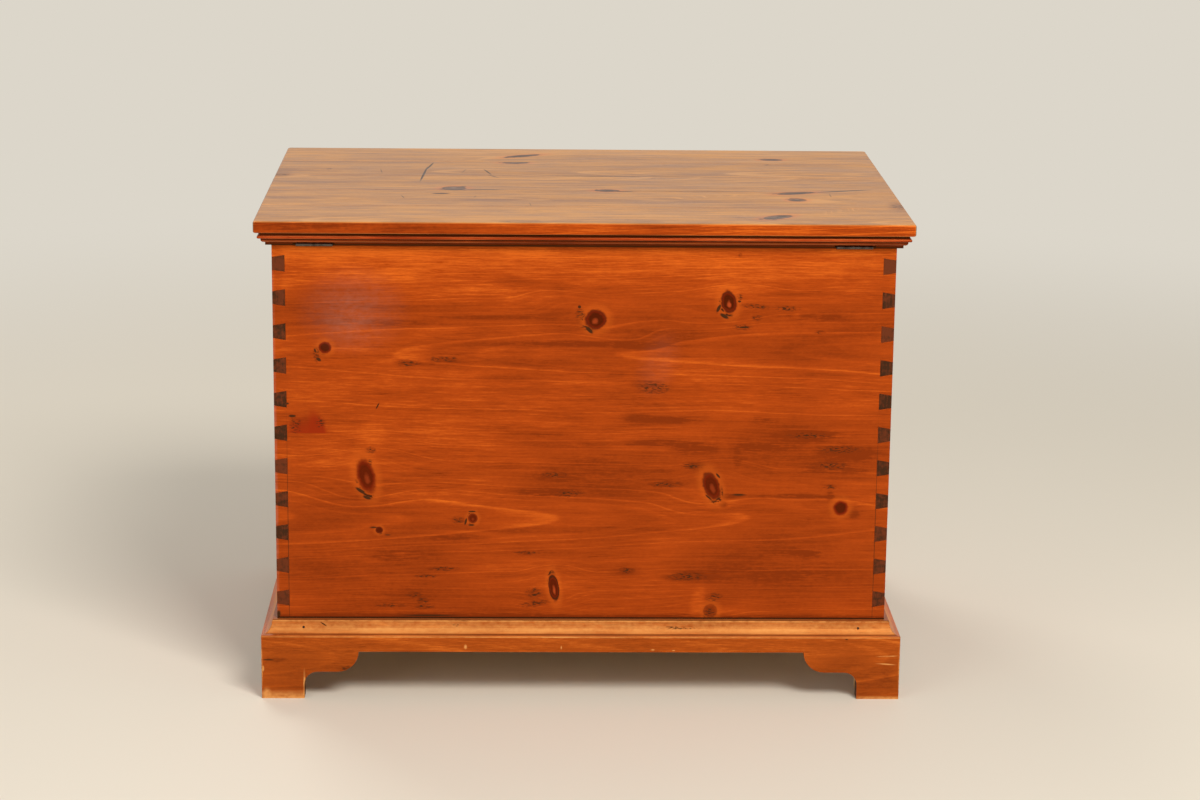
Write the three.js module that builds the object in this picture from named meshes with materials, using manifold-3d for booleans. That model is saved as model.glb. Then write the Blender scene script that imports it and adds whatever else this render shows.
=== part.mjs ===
// A pine blanket chest: a case of four through-dovetailed boards on a mitred base with ogee bracket feet,
// and a lid of five glued boards over a moulded frame, hung on two butt hinges.
// Millimetres. +X is the chest's right, +Y its back, +Z up. The origin is on the floor, under the middle.

import * as THREE from "three";
import { mergeVertices } from "three/addons/utils/BufferGeometryUtils.js";
import Module from "manifold-3d";

const wasm = await Module();
wasm.setup();

// Clearances
const JOINT_GAP = 0.3; // air between two pieces that touch
const OVERRUN = 5; // how far a cut reaches past the piece

// Case
const CASE_WIDTH = 871;
const CASE_DEPTH = 594.6;
const CASE_RISE = 544.6; // from the top of the base to the joint with the lid
const CASE_LIFT = 2; // lower edge of the boards above the apron's lower edge
const BOARD = 17.5; // thickness of the four boards

// Dovetails: the front and back boards carry the tails, the end boards the pins
const PIN_COUNT = 12;
const PIN_WIDTH = 23.6; // at the inner side, where a pin is widest
const PIN_SLOPE_SHARE = 1 / 6; // slope of a pin's cheek, as a share of the board's thickness
const FIRST_PIN_DROP = 27.6; // case top to the middle of the first pin
const LAST_PIN_RISE = 23.2; // lower edge of the boards to the middle of the last pin

// Base rails
const BASE_PROJECTION = 22; // from the case to the face of the rail
const FOOT_WIDTH = 61;
const FOOT_HEIGHT = 40; // floor to the shelf of the bracket
const FOOT_COVE = 19; // radius of the hollow between foot and shelf
const SHELF_RUN = 28.5; // level stretch of the bracket
const OGEE_RADIUS = 30.3; // round end of the bracket, up to the apron
const APRON_WIDTH = 43.5; // lower edge of the apron to the top of the base
const BASE_LEDGE = 6.2; // level top of the moulding, out from the case
const LEDGE_HEIGHT = 2.2;
const COVE_STEP = 1; // from the ledge's face out to the start of the cove
const COVE_HEIGHT = 17.4;
const ARRIS_RADIUS = 0.8; // eased edge under the cove

// Nails through the base moulding
const NAIL_INSET = 60; // from the end of the rail
const NAIL_DROP = 11; // below the top of the base
const NAIL_SHANK = 1;
const NAIL_HEAD = 1.5;
const NAIL_HEAD_LENGTH = 1.6;
const NAIL_SINK = 0.4; // depth of the head under the cove
const NAIL_HOLD = 12; // length in the case board

// Bottom
const PLANK_COUNT = 4;
const PLANK_THICKNESS = 12;
const TONGUE_THICKNESS = 4;
const TONGUE_REACH = 6;
const CLEAT_HEIGHT = 20;
const CLEAT_WIDTH = 20;

// Glue blocks in the corners of the base
const BLOCK_SIDE = 38;
const BLOCK_CHAMFER = 14;
const BLOCK_LIFT = 3; // above the floor

// Lid
const LID_BOARD_COUNT = 5;
const LID_OVERHANG = 23.5; // beyond the case, on all four sides
const LID_THICKNESS = 17.2;
const LID_TOP_ROUND = 3;
const LID_BOTTOM_ROUND = 2.3;
const LID_CORNER_RADIUS = 3;

// Moulded frame under the lid, from the joint upwards
const FRAME_WIDTH = 38; // from the face of the bead to the inner edge
const FILLET_OUT = 8; // face of the lower fillet, beyond the case
const FILLET_HEIGHT = 4.3;
const OVOLO_STEP = 1.2;
const OVOLO_WIDTH = 4.8;
const OVOLO_HEIGHT = 4.6;
const QUIRK_HEIGHT = 1.4;
const QUIRK_DEPTH = 4.9; // behind the face of the bead
const BEAD_OUT = 18.7; // face of the bead, beyond the case
const BEAD_RADIUS = 2.25;
const NECK_HEIGHT = 3.9; // set-back stretch between the bead and the lid
const NECK_DEPTH = 3.5; // behind the face of the bead

// Hinges: 2 inch butts, laid in the top edge of the back board and in the frame
const HINGE_LENGTH = 50.8;
const HINGE_INSET = 34; // end of the case to the end of the hinge
const KNUCKLE_COUNT = 5;
const KNUCKLE_RADIUS = 2.7;
const KNUCKLE_STANDOFF = 0.4; // air between the barrel and the case
const HINGE_PIN_RADIUS = 1.3;
const HINGE_PIN_PLAY = 0.2;
const LEAF_THICKNESS = 1.5;
const LEAF_REACH = 15; // from the hinge's axis to the leaf's far edge
const NOTCH_MARGIN = 3.6; // beyond each end of the barrel
const NOTCH_AIR = 1.6; // above the barrel

// Hinge screws
const SCREW_COUNT = 3;
const SCREW_HEAD = 2.9;
const SCREW_SHANK = 1.4;
const SCREW_LENGTH = 14;
const SCREW_TIP = 3;
const SCREW_RIM = 0.05; // straight edge of the head
const SLOT_WIDTH = 0.8;
const SLOT_DEPTH = 0.6;

// Facets
const ARC_STEPS = 8;
const SMALL_ARC_STEPS = 4;
const ROUND_SIDES = 16;

// Places that follow from the sizes above
const apronBottom = FOOT_HEIGHT + OGEE_RADIUS;
const baseTop = apronBottom + APRON_WIDTH;
const caseBottom = apronBottom + CASE_LIFT;
const caseTop = baseTop + CASE_RISE;
const frameHeight = FILLET_HEIGHT + OVOLO_HEIGHT + QUIRK_HEIGHT + 2 * BEAD_RADIUS + NECK_HEIGHT;
const lidBottom = caseTop + frameHeight;
const axisOut = KNUCKLE_RADIUS + KNUCKLE_STANDOFF; // hinge axis beyond the back of the case
const hingeX = CASE_WIDTH / 2 - HINGE_INSET - HINGE_LENGTH / 2;
const leafInner = KNUCKLE_RADIUS + JOINT_GAP; // where a leaf clears the other leaf's knuckles
const screwOut = (leafInner + LEAF_REACH) / 2;
const mitreBack = JOINT_GAP / Math.SQRT2; // each mitred end draws back by this, for a joint of JOINT_GAP
const halfGap = JOINT_GAP / 2;

// Materials
function finish(color, roughness, metalness) {
  return new THREE.MeshStandardMaterial({ color, roughness, metalness });
}
const stainedPine = () => finish(0xb8551f, 0.35, 0);
const mouldedPine = () => finish(0xc96a32, 0.33, 0);
const lidPine = () => finish(0xc08a5c, 0.3, 0);
const barePine = () => finish(0xcaa878, 0.75, 0);
const darkSteel = () => finish(0x4a4644, 0.42, 1);
const brightSteel = () => finish(0x8d8a86, 0.35, 1);

// Solids: three.js geometry in and out of manifold-3d
function toSolid(geometry) {
  const bare = geometry.index ? geometry.toNonIndexed() : geometry.clone();
  bare.deleteAttribute("normal");
  bare.deleteAttribute("uv");
  const merged = mergeVertices(bare);
  return new wasm.Manifold(
    new wasm.Mesh({
      numProp: 3,
      vertProperties: merged.attributes.position.array,
      triVerts: new Uint32Array(merged.index.array),
    }),
  );
}

function toGeometry(solid) {
  const mesh = solid.getMesh();
  const positions = new Float32Array(mesh.vertProperties);
  const geometry = new THREE.BufferGeometry();
  geometry.setAttribute("position", new THREE.BufferAttribute(positions, mesh.numProp));
  geometry.setIndex(new THREE.BufferAttribute(new Uint32Array(mesh.triVerts), 1));
  geometry.computeVertexNormals();
  return geometry;
}

function joined(solids) {
  return solids.reduce((whole, piece) => whole.add(piece));
}

function without(solid, cutters) {
  return cutters.reduce((rest, cutter) => rest.subtract(cutter), solid);
}

function box([x0, x1], [y0, y1], [z0, z1]) {
  const geometry = new THREE.BoxGeometry(x1 - x0, y1 - y0, z1 - z0);
  geometry.translate((x0 + x1) / 2, (y0 + y1) / 2, (z0 + z1) / 2);
  return toSolid(geometry);
}

// A prism whose outline lies in the XZ plane and which runs from y0 to y1
function prismAlongY(outline, [y0, y1]) {
  const shape = new THREE.Shape(outline.map(([x, z]) => new THREE.Vector2(x, z)));
  const geometry = new THREE.ExtrudeGeometry(shape, { depth: y1 - y0, bevelEnabled: false });
  geometry.rotateX(Math.PI / 2);
  geometry.translate(0, y1, 0);
  return toSolid(geometry);
}

// A prism whose outline lies in the XY plane and which runs from z0 to z1
function prismAlongZ(outline, [z0, z1]) {
  const shape = new THREE.Shape(outline.map(([x, y]) => new THREE.Vector2(x, y)));
  const geometry = new THREE.ExtrudeGeometry(shape, { depth: z1 - z0, bevelEnabled: false });
  geometry.translate(0, 0, z0);
  return toSolid(geometry);
}

// A prism whose outline lies in the YZ plane and which runs from x0 to x1
function prismAlongX(outline, [x0, x1]) {
  const shape = new THREE.Shape(outline.map(([y, z]) => new THREE.Vector2(y, z)));
  const geometry = new THREE.ExtrudeGeometry(shape, { depth: x1 - x0, bevelEnabled: false });
  geometry.rotateX(Math.PI / 2);
  geometry.rotateZ(Math.PI / 2);
  geometry.translate(x0, 0, 0);
  return toSolid(geometry);
}

function cylinderAlongX(radius, [x0, x1]) {
  const geometry = new THREE.CylinderGeometry(radius, radius, x1 - x0, ROUND_SIDES);
  geometry.rotateZ(Math.PI / 2);
  geometry.translate((x0 + x1) / 2, 0, 0);
  return toSolid(geometry);
}

function cylinderAlongY(radius, [y0, y1]) {
  const geometry = new THREE.CylinderGeometry(radius, radius, y1 - y0, ROUND_SIDES);
  geometry.translate(0, (y0 + y1) / 2, 0);
  return toSolid(geometry);
}

// A turned piece: the profile's points are [radius, height], from the lowest up, on the Z axis
function turned(profile) {
  const points = profile.map(([radius, height]) => new THREE.Vector2(radius, height));
  const geometry = new THREE.LatheGeometry(points, ROUND_SIDES);
  geometry.rotateX(Math.PI / 2);
  return toSolid(geometry);
}

// Points on an ellipse about (cx, cy), from one angle to another in degrees
function arc(cx, cy, rx, ry, from, to, steps) {
  const points = [];
  for (let i = 0; i <= steps; i++) {
    const angle = THREE.MathUtils.degToRad(from + ((to - from) * i) / steps);
    points.push([cx + rx * Math.cos(angle), cy + ry * Math.sin(angle)]);
  }
  return points;
}

function roundArc(cx, cy, radius, from, to, steps) {
  return arc(cx, cy, radius, radius, from, to, steps);
}

// A strip that runs along X with 45 degree mitres at both ends and its moulded face towards +Y.
// The profile's points are [out, up], anticlockwise seen from +X. out is measured from the face of the case,
// which stands at y = face and is halfCase long to each side of the middle.
function mitredStrip(profile, halfCase, face) {
  const contour = profile.map(([out, up]) => new THREE.Vector2(out, up));
  const count = profile.length;
  const positions = [];
  for (const end of [-1, 1]) {
    for (const [out, up] of profile) positions.push(end * (halfCase + out - mitreBack), face + out, up);
  }
  const index = [];
  for (const [a, b, c] of THREE.ShapeUtils.triangulateShape(contour, [])) {
    index.push(a, c, b, count + a, count + b, count + c);
  }
  for (let i = 0; i < count; i++) {
    const next = (i + 1) % count;
    index.push(i, next, count + next, i, count + next, count + i);
  }
  const geometry = new THREE.BufferGeometry();
  geometry.setAttribute("position", new THREE.Float32BufferAttribute(positions, 3));
  geometry.setIndex(index);
  return toSolid(geometry);
}

// Dovetails
const pinPitch = (caseTop - caseBottom - FIRST_PIN_DROP - LAST_PIN_RISE) / (PIN_COUNT - 1);

function pinHeights() {
  return Array.from({ length: PIN_COUNT }, (_, i) => caseTop - FIRST_PIN_DROP - i * pinPitch);
}

// Outline of a pin about height z: wide at its inner side, narrow at the outer face of the case.
// from and to are distances from that outer face, negative inwards.
function pinOutline(outerFace, z, from, to, grow) {
  const halfWidth = (at) => PIN_WIDTH / 2 - (BOARD + at) * PIN_SLOPE_SHARE + grow;
  return [
    [outerFace + from, z - halfWidth(from)],
    [outerFace + to, z - halfWidth(to)],
    [outerFace + to, z + halfWidth(to)],
    [outerFace + from, z + halfWidth(from)],
  ];
}

// Nails: x places along a rail, and the solids that cut their holes
const nailHeight = baseTop - NAIL_DROP;

function nailPlaces(halfCase) {
  const place = halfCase + BASE_PROJECTION - NAIL_INSET;
  return [-place, place];
}

// How far the cove stands out from the case at the nails' height
function coveOut(up) {
  const { centreOut, centreUp, width, height } = coveEllipse();
  const rise = Math.min(Math.max((centreUp - up) / height, 0), 1);
  return centreOut - width * Math.sqrt(1 - rise * rise);
}

function coveEllipse() {
  const centreUp = baseTop - LEDGE_HEIGHT;
  const centreOut = BASE_PROJECTION - ARRIS_RADIUS;
  return { centreOut, centreUp, width: centreOut - BASE_LEDGE - COVE_STEP, height: COVE_HEIGHT };
}

function nailTop(face) {
  return face + coveOut(nailHeight) - NAIL_SINK;
}

function nailHoles(halfCase, face) {
  const top = nailTop(face);
  const point = face - NAIL_HOLD - JOINT_GAP;
  const underHead = top - NAIL_HEAD_LENGTH - JOINT_GAP;
  const outside = face + BASE_PROJECTION + OVERRUN;
  const hole = cylinderAlongY(NAIL_SHANK + JOINT_GAP, [point, top]).add(
    cylinderAlongY(NAIL_HEAD + JOINT_GAP, [underHead, outside]),
  );
  return nailPlaces(halfCase).map((x) => hole.translate([x, 0, nailHeight]));
}

function nail(x, face) {
  const top = nailTop(face);
  const shank = cylinderAlongY(NAIL_SHANK, [face - NAIL_HOLD, top]);
  const head = cylinderAlongY(NAIL_HEAD, [top - NAIL_HEAD_LENGTH, top]);
  return shank.add(head).translate([x, 0, nailHeight]);
}

// Case boards, each built facing +Y
function tailBoard(cutters) {
  const face = CASE_DEPTH / 2;
  const end = CASE_WIDTH / 2;
  const blank = box([-end, end], [face - BOARD, face], [caseBottom, caseTop - halfGap]);
  const sockets = pinHeights().flatMap((z) => {
    const outline = pinOutline(end, z, -BOARD - JOINT_GAP, OVERRUN, halfGap);
    const mirrored = outline.map(([x, up]) => [-x, up]).reverse();
    const through = [face - BOARD - OVERRUN, face + OVERRUN];
    return [prismAlongY(outline, through), prismAlongY(mirrored, through)];
  });
  return without(blank, [...sockets, ...nailHoles(end, face), ...cutters]);
}

function pinBoard() {
  const face = CASE_WIDTH / 2;
  const end = CASE_DEPTH / 2;
  const shoulder = end - BOARD - JOINT_GAP;
  const blank = box([-shoulder, shoulder], [face - BOARD, face], [caseBottom, caseTop - halfGap]);
  const root = shoulder - BOARD; // pins start inside the blank, so that they join it fully
  const pins = pinHeights().flatMap((z) => {
    const outline = pinOutline(face, z, -BOARD, 0, -halfGap);
    return [prismAlongX(outline, [root, end]), prismAlongX(outline, [-end, -root])];
  });
  return without(joined([blank, ...pins]), nailHoles(end, face));
}

// Base rails, each built facing +Y
function railProfile() {
  const { centreOut, centreUp, width, height } = coveEllipse();
  const coveFoot = centreUp - height;
  return [
    [JOINT_GAP, 0],
    [BASE_PROJECTION, 0],
    ...roundArc(centreOut, coveFoot - ARRIS_RADIUS, ARRIS_RADIUS, 0, 90, SMALL_ARC_STEPS),
    ...arc(centreOut, centreUp, width, height, 270, 180, ARC_STEPS).slice(1),
    [BASE_LEDGE, centreUp],
    [BASE_LEDGE, baseTop],
    [JOINT_GAP, baseTop],
  ];
}

// The opening between two feet: hollow, shelf and ogee on each side, and the apron's straight edge
function bracketOutline(halfLength) {
  const foot = halfLength - FOOT_WIDTH;
  const coveCentre = foot - FOOT_COVE;
  const ogeeCentre = coveCentre - SHELF_RUN;
  const right = [
    [foot, -OVERRUN],
    ...roundArc(coveCentre, FOOT_HEIGHT - FOOT_COVE, FOOT_COVE, 0, 90, ARC_STEPS),
    ...roundArc(ogeeCentre, apronBottom, OGEE_RADIUS, 270, 180, ARC_STEPS),
  ];
  const left = right.map(([x, up]) => [-x, up]).reverse();
  return [...right, ...left];
}

function baseRail(halfCase, face) {
  const strip = mitredStrip(railProfile(), halfCase, face);
  const through = [face - OVERRUN, face + BASE_PROJECTION + OVERRUN];
  const opening = prismAlongY(bracketOutline(halfCase + BASE_PROJECTION), through);
  return without(strip, [opening, ...nailHoles(halfCase, face)]);
}

// Glue block for the corner at the right and back of the base
function cornerBlock() {
  const x = CASE_WIDTH / 2;
  const y = CASE_DEPTH / 2;
  const outline = [
    [x, y],
    [x - BLOCK_SIDE, y],
    [x - BLOCK_SIDE, y - BLOCK_SIDE + BLOCK_CHAMFER],
    [x - BLOCK_SIDE + BLOCK_CHAMFER, y - BLOCK_SIDE],
    [x, y - BLOCK_SIDE],
  ];
  return prismAlongZ(outline, [BLOCK_LIFT, caseBottom - JOINT_GAP]);
}

// Bottom: cleats flush with the lower edge of the case, and planks on them
const innerX = CASE_WIDTH / 2 - BOARD - JOINT_GAP;
const innerY = CASE_DEPTH / 2 - BOARD - JOINT_GAP;

function longCleat() {
  return box([-innerX, innerX], [innerY - CLEAT_WIDTH, innerY], [caseBottom, caseBottom + CLEAT_HEIGHT]);
}

function shortCleat() {
  const end = innerY - CLEAT_WIDTH - JOINT_GAP;
  return box([-end, end], [innerX - CLEAT_WIDTH, innerX], [caseBottom, caseBottom + CLEAT_HEIGHT]);
}

function plank(index) {
  const pitch = (2 * innerY + JOINT_GAP) / PLANK_COUNT;
  const front = -innerY + index * pitch;
  const back = front + pitch - JOINT_GAP;
  const bottom = caseBottom + CLEAT_HEIGHT + JOINT_GAP;
  const middle = bottom + PLANK_THICKNESS / 2;
  const tongueHalf = TONGUE_THICKNESS / 2;
  const tongueBand = [middle - tongueHalf, middle + tongueHalf];
  const grooveBand = [middle - tongueHalf - JOINT_GAP, middle + tongueHalf + JOINT_GAP];
  const blank = box([-innerX, innerX], [front, back], [bottom, bottom + PLANK_THICKNESS]);
  const tongue = box([-innerX, innerX], [back - TONGUE_REACH, back + TONGUE_REACH], tongueBand);
  const allAlong = [-innerX - OVERRUN, innerX + OVERRUN];
  const groove = box(allAlong, [front - OVERRUN, front + TONGUE_REACH], grooveBand);
  const tongued = index === PLANK_COUNT - 1 ? blank : blank.add(tongue);
  return index === 0 ? tongued : tongued.subtract(groove);
}

// Lid boards: one slab with rounded edges, parted into boards of equal width
const lidX = CASE_WIDTH / 2 + LID_OVERHANG;
const lidY = CASE_DEPTH / 2 + LID_OVERHANG;

function lidRing(inset, z) {
  const x = lidX - inset - LID_CORNER_RADIUS;
  const y = lidY - inset - LID_CORNER_RADIUS;
  const corners = [
    [x, y, 0],
    [-x, y, 90],
    [-x, -y, 180],
    [x, -y, 270],
  ];
  const outline = corners.flatMap(([cx, cy, from]) =>
    roundArc(cx, cy, LID_CORNER_RADIUS, from, from + 90, SMALL_ARC_STEPS),
  );
  return outline.map(([px, py]) => [px, py, z]);
}

function lidSlab() {
  const bottom = lidBottom + JOINT_GAP;
  const top = lidBottom + LID_THICKNESS;
  const lowerCentre = bottom + LID_BOTTOM_ROUND;
  const upperCentre = top - LID_TOP_ROUND;
  const lower = roundArc(LID_BOTTOM_ROUND, lowerCentre, LID_BOTTOM_ROUND, 270, 180, SMALL_ARC_STEPS);
  const upper = roundArc(LID_TOP_ROUND, upperCentre, LID_TOP_ROUND, 180, 90, SMALL_ARC_STEPS);
  const rings = [...lower, ...upper].map(([inset, z]) => lidRing(inset, z));
  const count = rings[0].length;
  const index = [];
  const around = rings[0].map((_, i) => i);
  const cap = THREE.ShapeUtils.triangulateShape(rings[0].map(([x, y]) => new THREE.Vector2(x, y)), []);
  const topStart = (rings.length - 1) * count;
  for (const [a, b, c] of cap) index.push(a, c, b, topStart + a, topStart + b, topStart + c);
  for (let r = 0; r < rings.length - 1; r++) {
    for (const i of around) {
      const a = r * count + i;
      const b = r * count + ((i + 1) % count);
      index.push(a, b, b + count, a, b + count, a + count);
    }
  }
  const geometry = new THREE.BufferGeometry();
  geometry.setAttribute("position", new THREE.Float32BufferAttribute(rings.flat(2), 3));
  geometry.setIndex(index);
  return toSolid(geometry);
}

function lidBoard(slab, index) {
  const pitch = (2 * lidY) / LID_BOARD_COUNT;
  const front = -lidY + index * pitch;
  const back = front + pitch;
  const frontEdge = index === 0 ? front - OVERRUN : front + halfGap;
  const backEdge = index === LID_BOARD_COUNT - 1 ? back + OVERRUN : back - halfGap;
  const allHeights = [lidBottom - OVERRUN, lidBottom + LID_THICKNESS + OVERRUN];
  return slab.intersect(box([-lidX - OVERRUN, lidX + OVERRUN], [frontEdge, backEdge], allHeights));
}

// Moulded frame under the lid, each strip built facing +Y
function frameProfile() {
  const bottom = caseTop + halfGap;
  const ovoloFoot = caseTop + FILLET_HEIGHT;
  const ovoloTop = ovoloFoot + OVOLO_HEIGHT;
  const beadFoot = ovoloTop + QUIRK_HEIGHT;
  const beadMiddle = beadFoot + BEAD_RADIUS;
  const beadTop = beadMiddle + BEAD_RADIUS;
  const inner = BEAD_OUT - FRAME_WIDTH;
  return [
    [inner, bottom],
    [FILLET_OUT, bottom],
    [FILLET_OUT, ovoloFoot],
    ...arc(FILLET_OUT + OVOLO_STEP, ovoloTop, OVOLO_WIDTH, OVOLO_HEIGHT, 270, 360, SMALL_ARC_STEPS),
    [BEAD_OUT - QUIRK_DEPTH, ovoloTop],
    [BEAD_OUT - QUIRK_DEPTH, beadFoot],
    ...roundArc(BEAD_OUT - BEAD_RADIUS, beadMiddle, BEAD_RADIUS, 270, 450, ARC_STEPS),
    [BEAD_OUT - NECK_DEPTH, beadTop],
    [BEAD_OUT - NECK_DEPTH, lidBottom],
    [inner, lidBottom],
  ];
}

function frameStrip(halfCase, face, cutters) {
  return without(mitredStrip(frameProfile(), halfCase, face), cutters);
}

// Hinge pieces, built about the hinge's axis: x along the barrel, +y away from the chest.
// side is -1 for the leaf under the joint, in the case, and 1 for the leaf above it, in the lid.
function leafBand(side, near, far) {
  return side < 0 ? [-far, -near] : [near, far];
}

function knuckleSpan(k) {
  const pitch = HINGE_LENGTH / KNUCKLE_COUNT;
  const start = -HINGE_LENGTH / 2 + k * pitch;
  const end = start + pitch;
  return [k === 0 ? start : start + halfGap, k === KNUCKLE_COUNT - 1 ? end : end - halfGap];
}

function screwXs() {
  const pitch = HINGE_LENGTH / SCREW_COUNT;
  return Array.from({ length: SCREW_COUNT }, (_, i) => (i - (SCREW_COUNT - 1) / 2) * pitch);
}

// A countersunk screw with its head's flat at height 0 and its point below
function screwBlank(grow, above) {
  return turned([
    [0, -SCREW_LENGTH - grow],
    [SCREW_SHANK + grow, -SCREW_LENGTH - grow + SCREW_TIP],
    [SCREW_SHANK + grow, -LEAF_THICKNESS],
    [SCREW_HEAD + grow, 0],
    [SCREW_HEAD + grow, above],
    [0, above],
  ]);
}

function screw() {
  const head = SCREW_HEAD + OVERRUN;
  const slotHalf = SLOT_WIDTH / 2;
  const blank = screwBlank(0, SCREW_RIM).translate([0, 0, -SCREW_RIM]);
  return blank.subtract(box([-head, head], [-slotHalf, slotHalf], [-SLOT_DEPTH, OVERRUN]));
}

function turnOver(solid, side) {
  return side < 0 ? solid : solid.rotate([180, 0, 0]);
}

// The room that the screws of one leaf need, in the leaf and in the wood behind it
function screwRoom(side) {
  const room = turnOver(screwBlank(JOINT_GAP, OVERRUN), side);
  return screwXs().map((x) => room.translate([x, -screwOut, side * halfGap]));
}

function leaf(side) {
  const thickness = leafBand(side, halfGap, halfGap + LEAF_THICKNESS);
  const halfLength = HINGE_LENGTH / 2;
  const plate = box([-halfLength, halfLength], [-LEAF_REACH, -leafInner], thickness);
  const own = Array.from({ length: KNUCKLE_COUNT }, (_, k) => k).filter((k) => (k % 2 === 0) === side < 0);
  const knuckles = own.flatMap((k) => [
    cylinderAlongX(KNUCKLE_RADIUS, knuckleSpan(k)),
    box(knuckleSpan(k), [-leafInner - LEAF_THICKNESS, 0], thickness),
  ]);
  const through = [-halfLength - OVERRUN, halfLength + OVERRUN];
  const bore = cylinderAlongX(HINGE_PIN_RADIUS + HINGE_PIN_PLAY, through);
  return without(joined([plate, ...knuckles]), [bore, ...screwRoom(side)]);
}

function hingePin() {
  return cylinderAlongX(HINGE_PIN_RADIUS, [-HINGE_LENGTH / 2, HINGE_LENGTH / 2]);
}

// What a hinge needs cut from the wood on one side of the joint, in the chest's frame
function hingeRoom(x, side) {
  const halfLength = HINGE_LENGTH / 2 + JOINT_GAP;
  const gainBand = leafBand(side, -OVERRUN, halfGap + LEAF_THICKNESS + JOINT_GAP);
  const gain = box([-halfLength, halfLength], [-LEAF_REACH - JOINT_GAP, 0], gainBand);
  const cuts = [gain, ...screwRoom(side)];
  if (side > 0) {
    const notch = HINGE_LENGTH / 2 + NOTCH_MARGIN;
    const notchBand = [-OVERRUN, KNUCKLE_RADIUS + NOTCH_AIR];
    cuts.push(box([-notch, notch], [-axisOut - KNUCKLE_STANDOFF, BEAD_OUT + OVERRUN], notchBand));
  }
  return cuts.map((cut) => cut.translate([x, CASE_DEPTH / 2 + axisOut, caseTop]));
}

// Assembly
const chest = new THREE.Group();

function add(parent, name, solid, material) {
  const mesh = new THREE.Mesh(toGeometry(solid), material);
  mesh.name = name;
  parent.add(mesh);
  return mesh;
}

// The four sides: the turn that brings a piece built facing +Y to that side, and the case's size there
const sides = [
  { name: "back", turn: 0, halfCase: CASE_WIDTH / 2, face: CASE_DEPTH / 2 },
  { name: "left", turn: Math.PI / 2, halfCase: CASE_DEPTH / 2, face: CASE_WIDTH / 2 },
  { name: "front", turn: Math.PI, halfCase: CASE_WIDTH / 2, face: CASE_DEPTH / 2 },
  { name: "right", turn: -Math.PI / 2, halfCase: CASE_DEPTH / 2, face: CASE_WIDTH / 2 },
];
const hinges = [
  { name: "left", x: -hingeX },
  { name: "right", x: hingeX },
];

for (const side of sides) {
  const quarter = new THREE.Group();
  quarter.rotation.z = side.turn;
  chest.add(quarter);
  const atEnds = side.name === "left" || side.name === "right";
  const boardName = side.name + (atEnds ? "_end_board" : "_board");
  const caseHinges = side.name === "back" ? hinges.flatMap(({ x }) => hingeRoom(x, -1)) : [];
  const lidHinges = side.name === "back" ? hinges.flatMap(({ x }) => hingeRoom(x, 1)) : [];
  add(quarter, boardName, atEnds ? pinBoard() : tailBoard(caseHinges), stainedPine());
  add(quarter, "base_rail_" + side.name, baseRail(side.halfCase, side.face), mouldedPine());
  add(quarter, "bottom_cleat_" + side.name, atEnds ? shortCleat() : longCleat(), barePine());
  add(quarter, "lid_frame_" + side.name, frameStrip(side.halfCase, side.face, lidHinges), mouldedPine());
  nailPlaces(side.halfCase).forEach((x, i) => {
    add(quarter, "base_nail_" + side.name + "_" + (i + 1), nail(x, side.face), darkSteel());
  });
}

const corners = [
  { name: "back_right", mirror: [1, 1] },
  { name: "back_left", mirror: [-1, 1] },
  { name: "front_left", mirror: [-1, -1] },
  { name: "front_right", mirror: [1, -1] },
];
for (const { name, mirror } of corners) {
  add(chest, "corner_block_" + name, cornerBlock().scale([...mirror, 1]), barePine());
}

for (let i = 0; i < PLANK_COUNT; i++) {
  add(chest, "bottom_plank_" + (i + 1), plank(i), barePine());
}

const slab = lidSlab();
for (let i = 0; i < LID_BOARD_COUNT; i++) {
  add(chest, "lid_board_" + (i + 1), lidBoard(slab, i), lidPine());
}

for (const hinge of hinges) {
  const group = new THREE.Group();
  group.position.set(hinge.x, CASE_DEPTH / 2 + axisOut, caseTop);
  chest.add(group);
  add(group, "hinge_" + hinge.name + "_pin", hingePin(), darkSteel());
  for (const [part, side] of [["case", -1], ["lid", 1]]) {
    add(group, "hinge_" + hinge.name + "_" + part + "_leaf", leaf(side), darkSteel());
    screwXs().forEach((x, i) => {
      const driven = turnOver(screw(), side).translate([x, -screwOut, side * halfGap]);
      add(group, "hinge_" + hinge.name + "_" + part + "_screw_" + (i + 1), driven, brightSteel());
    });
  }
}

export default chest;
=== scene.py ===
"""A pine blanket chest, seen from its back, on the pale floor of a plain studio."""
import logging
from dataclasses import dataclass, field
from enum import Enum
from math import cos, radians, sin

import bpy
from bpy.types import Material, Node, NodeSocket, NodeTree
from mathutils import Matrix, Vector

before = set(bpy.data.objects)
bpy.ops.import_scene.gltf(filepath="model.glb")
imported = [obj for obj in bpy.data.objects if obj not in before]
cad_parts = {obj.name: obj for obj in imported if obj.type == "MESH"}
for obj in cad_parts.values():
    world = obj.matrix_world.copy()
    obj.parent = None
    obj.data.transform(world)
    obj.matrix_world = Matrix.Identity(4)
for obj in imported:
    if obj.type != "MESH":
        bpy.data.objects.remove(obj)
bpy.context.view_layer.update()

logging.basicConfig(level=logging.INFO, format="%(message)s")
log = logging.getLogger("blanket_chest")

MM = 0.001  # one millimetre, in metres
FAR = 1e4  # further than any part of the chest, in millimetres
CORNER_GAP = 0.01  # corners of a CAD mesh that are closer than this are one corner, in millimetres
SHARP = radians(32)  # an edge that turns by more than this is a real edge
FLAT = radians(0.3)  # faces that turn by less than this are one flat face
FILM_WIDTH = 36.0  # width of the camera's picture, in millimetres
MATH = "ShaderNodeMath"
VECTOR = "ShaderNodeVectorMath"
RANGE = "ShaderNodeMapRange"
MIX = "ShaderNodeMix"
NOISE = "ShaderNodeTexNoise"
SPLIT = "ShaderNodeSeparateXYZ"
JOIN = "ShaderNodeCombineXYZ"
GROUP = "ShaderNodeGroup"
SMOOTH = {"interpolation_type": "SMOOTHSTEP", "clamp": False}  # a range that begins and ends softly

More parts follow.
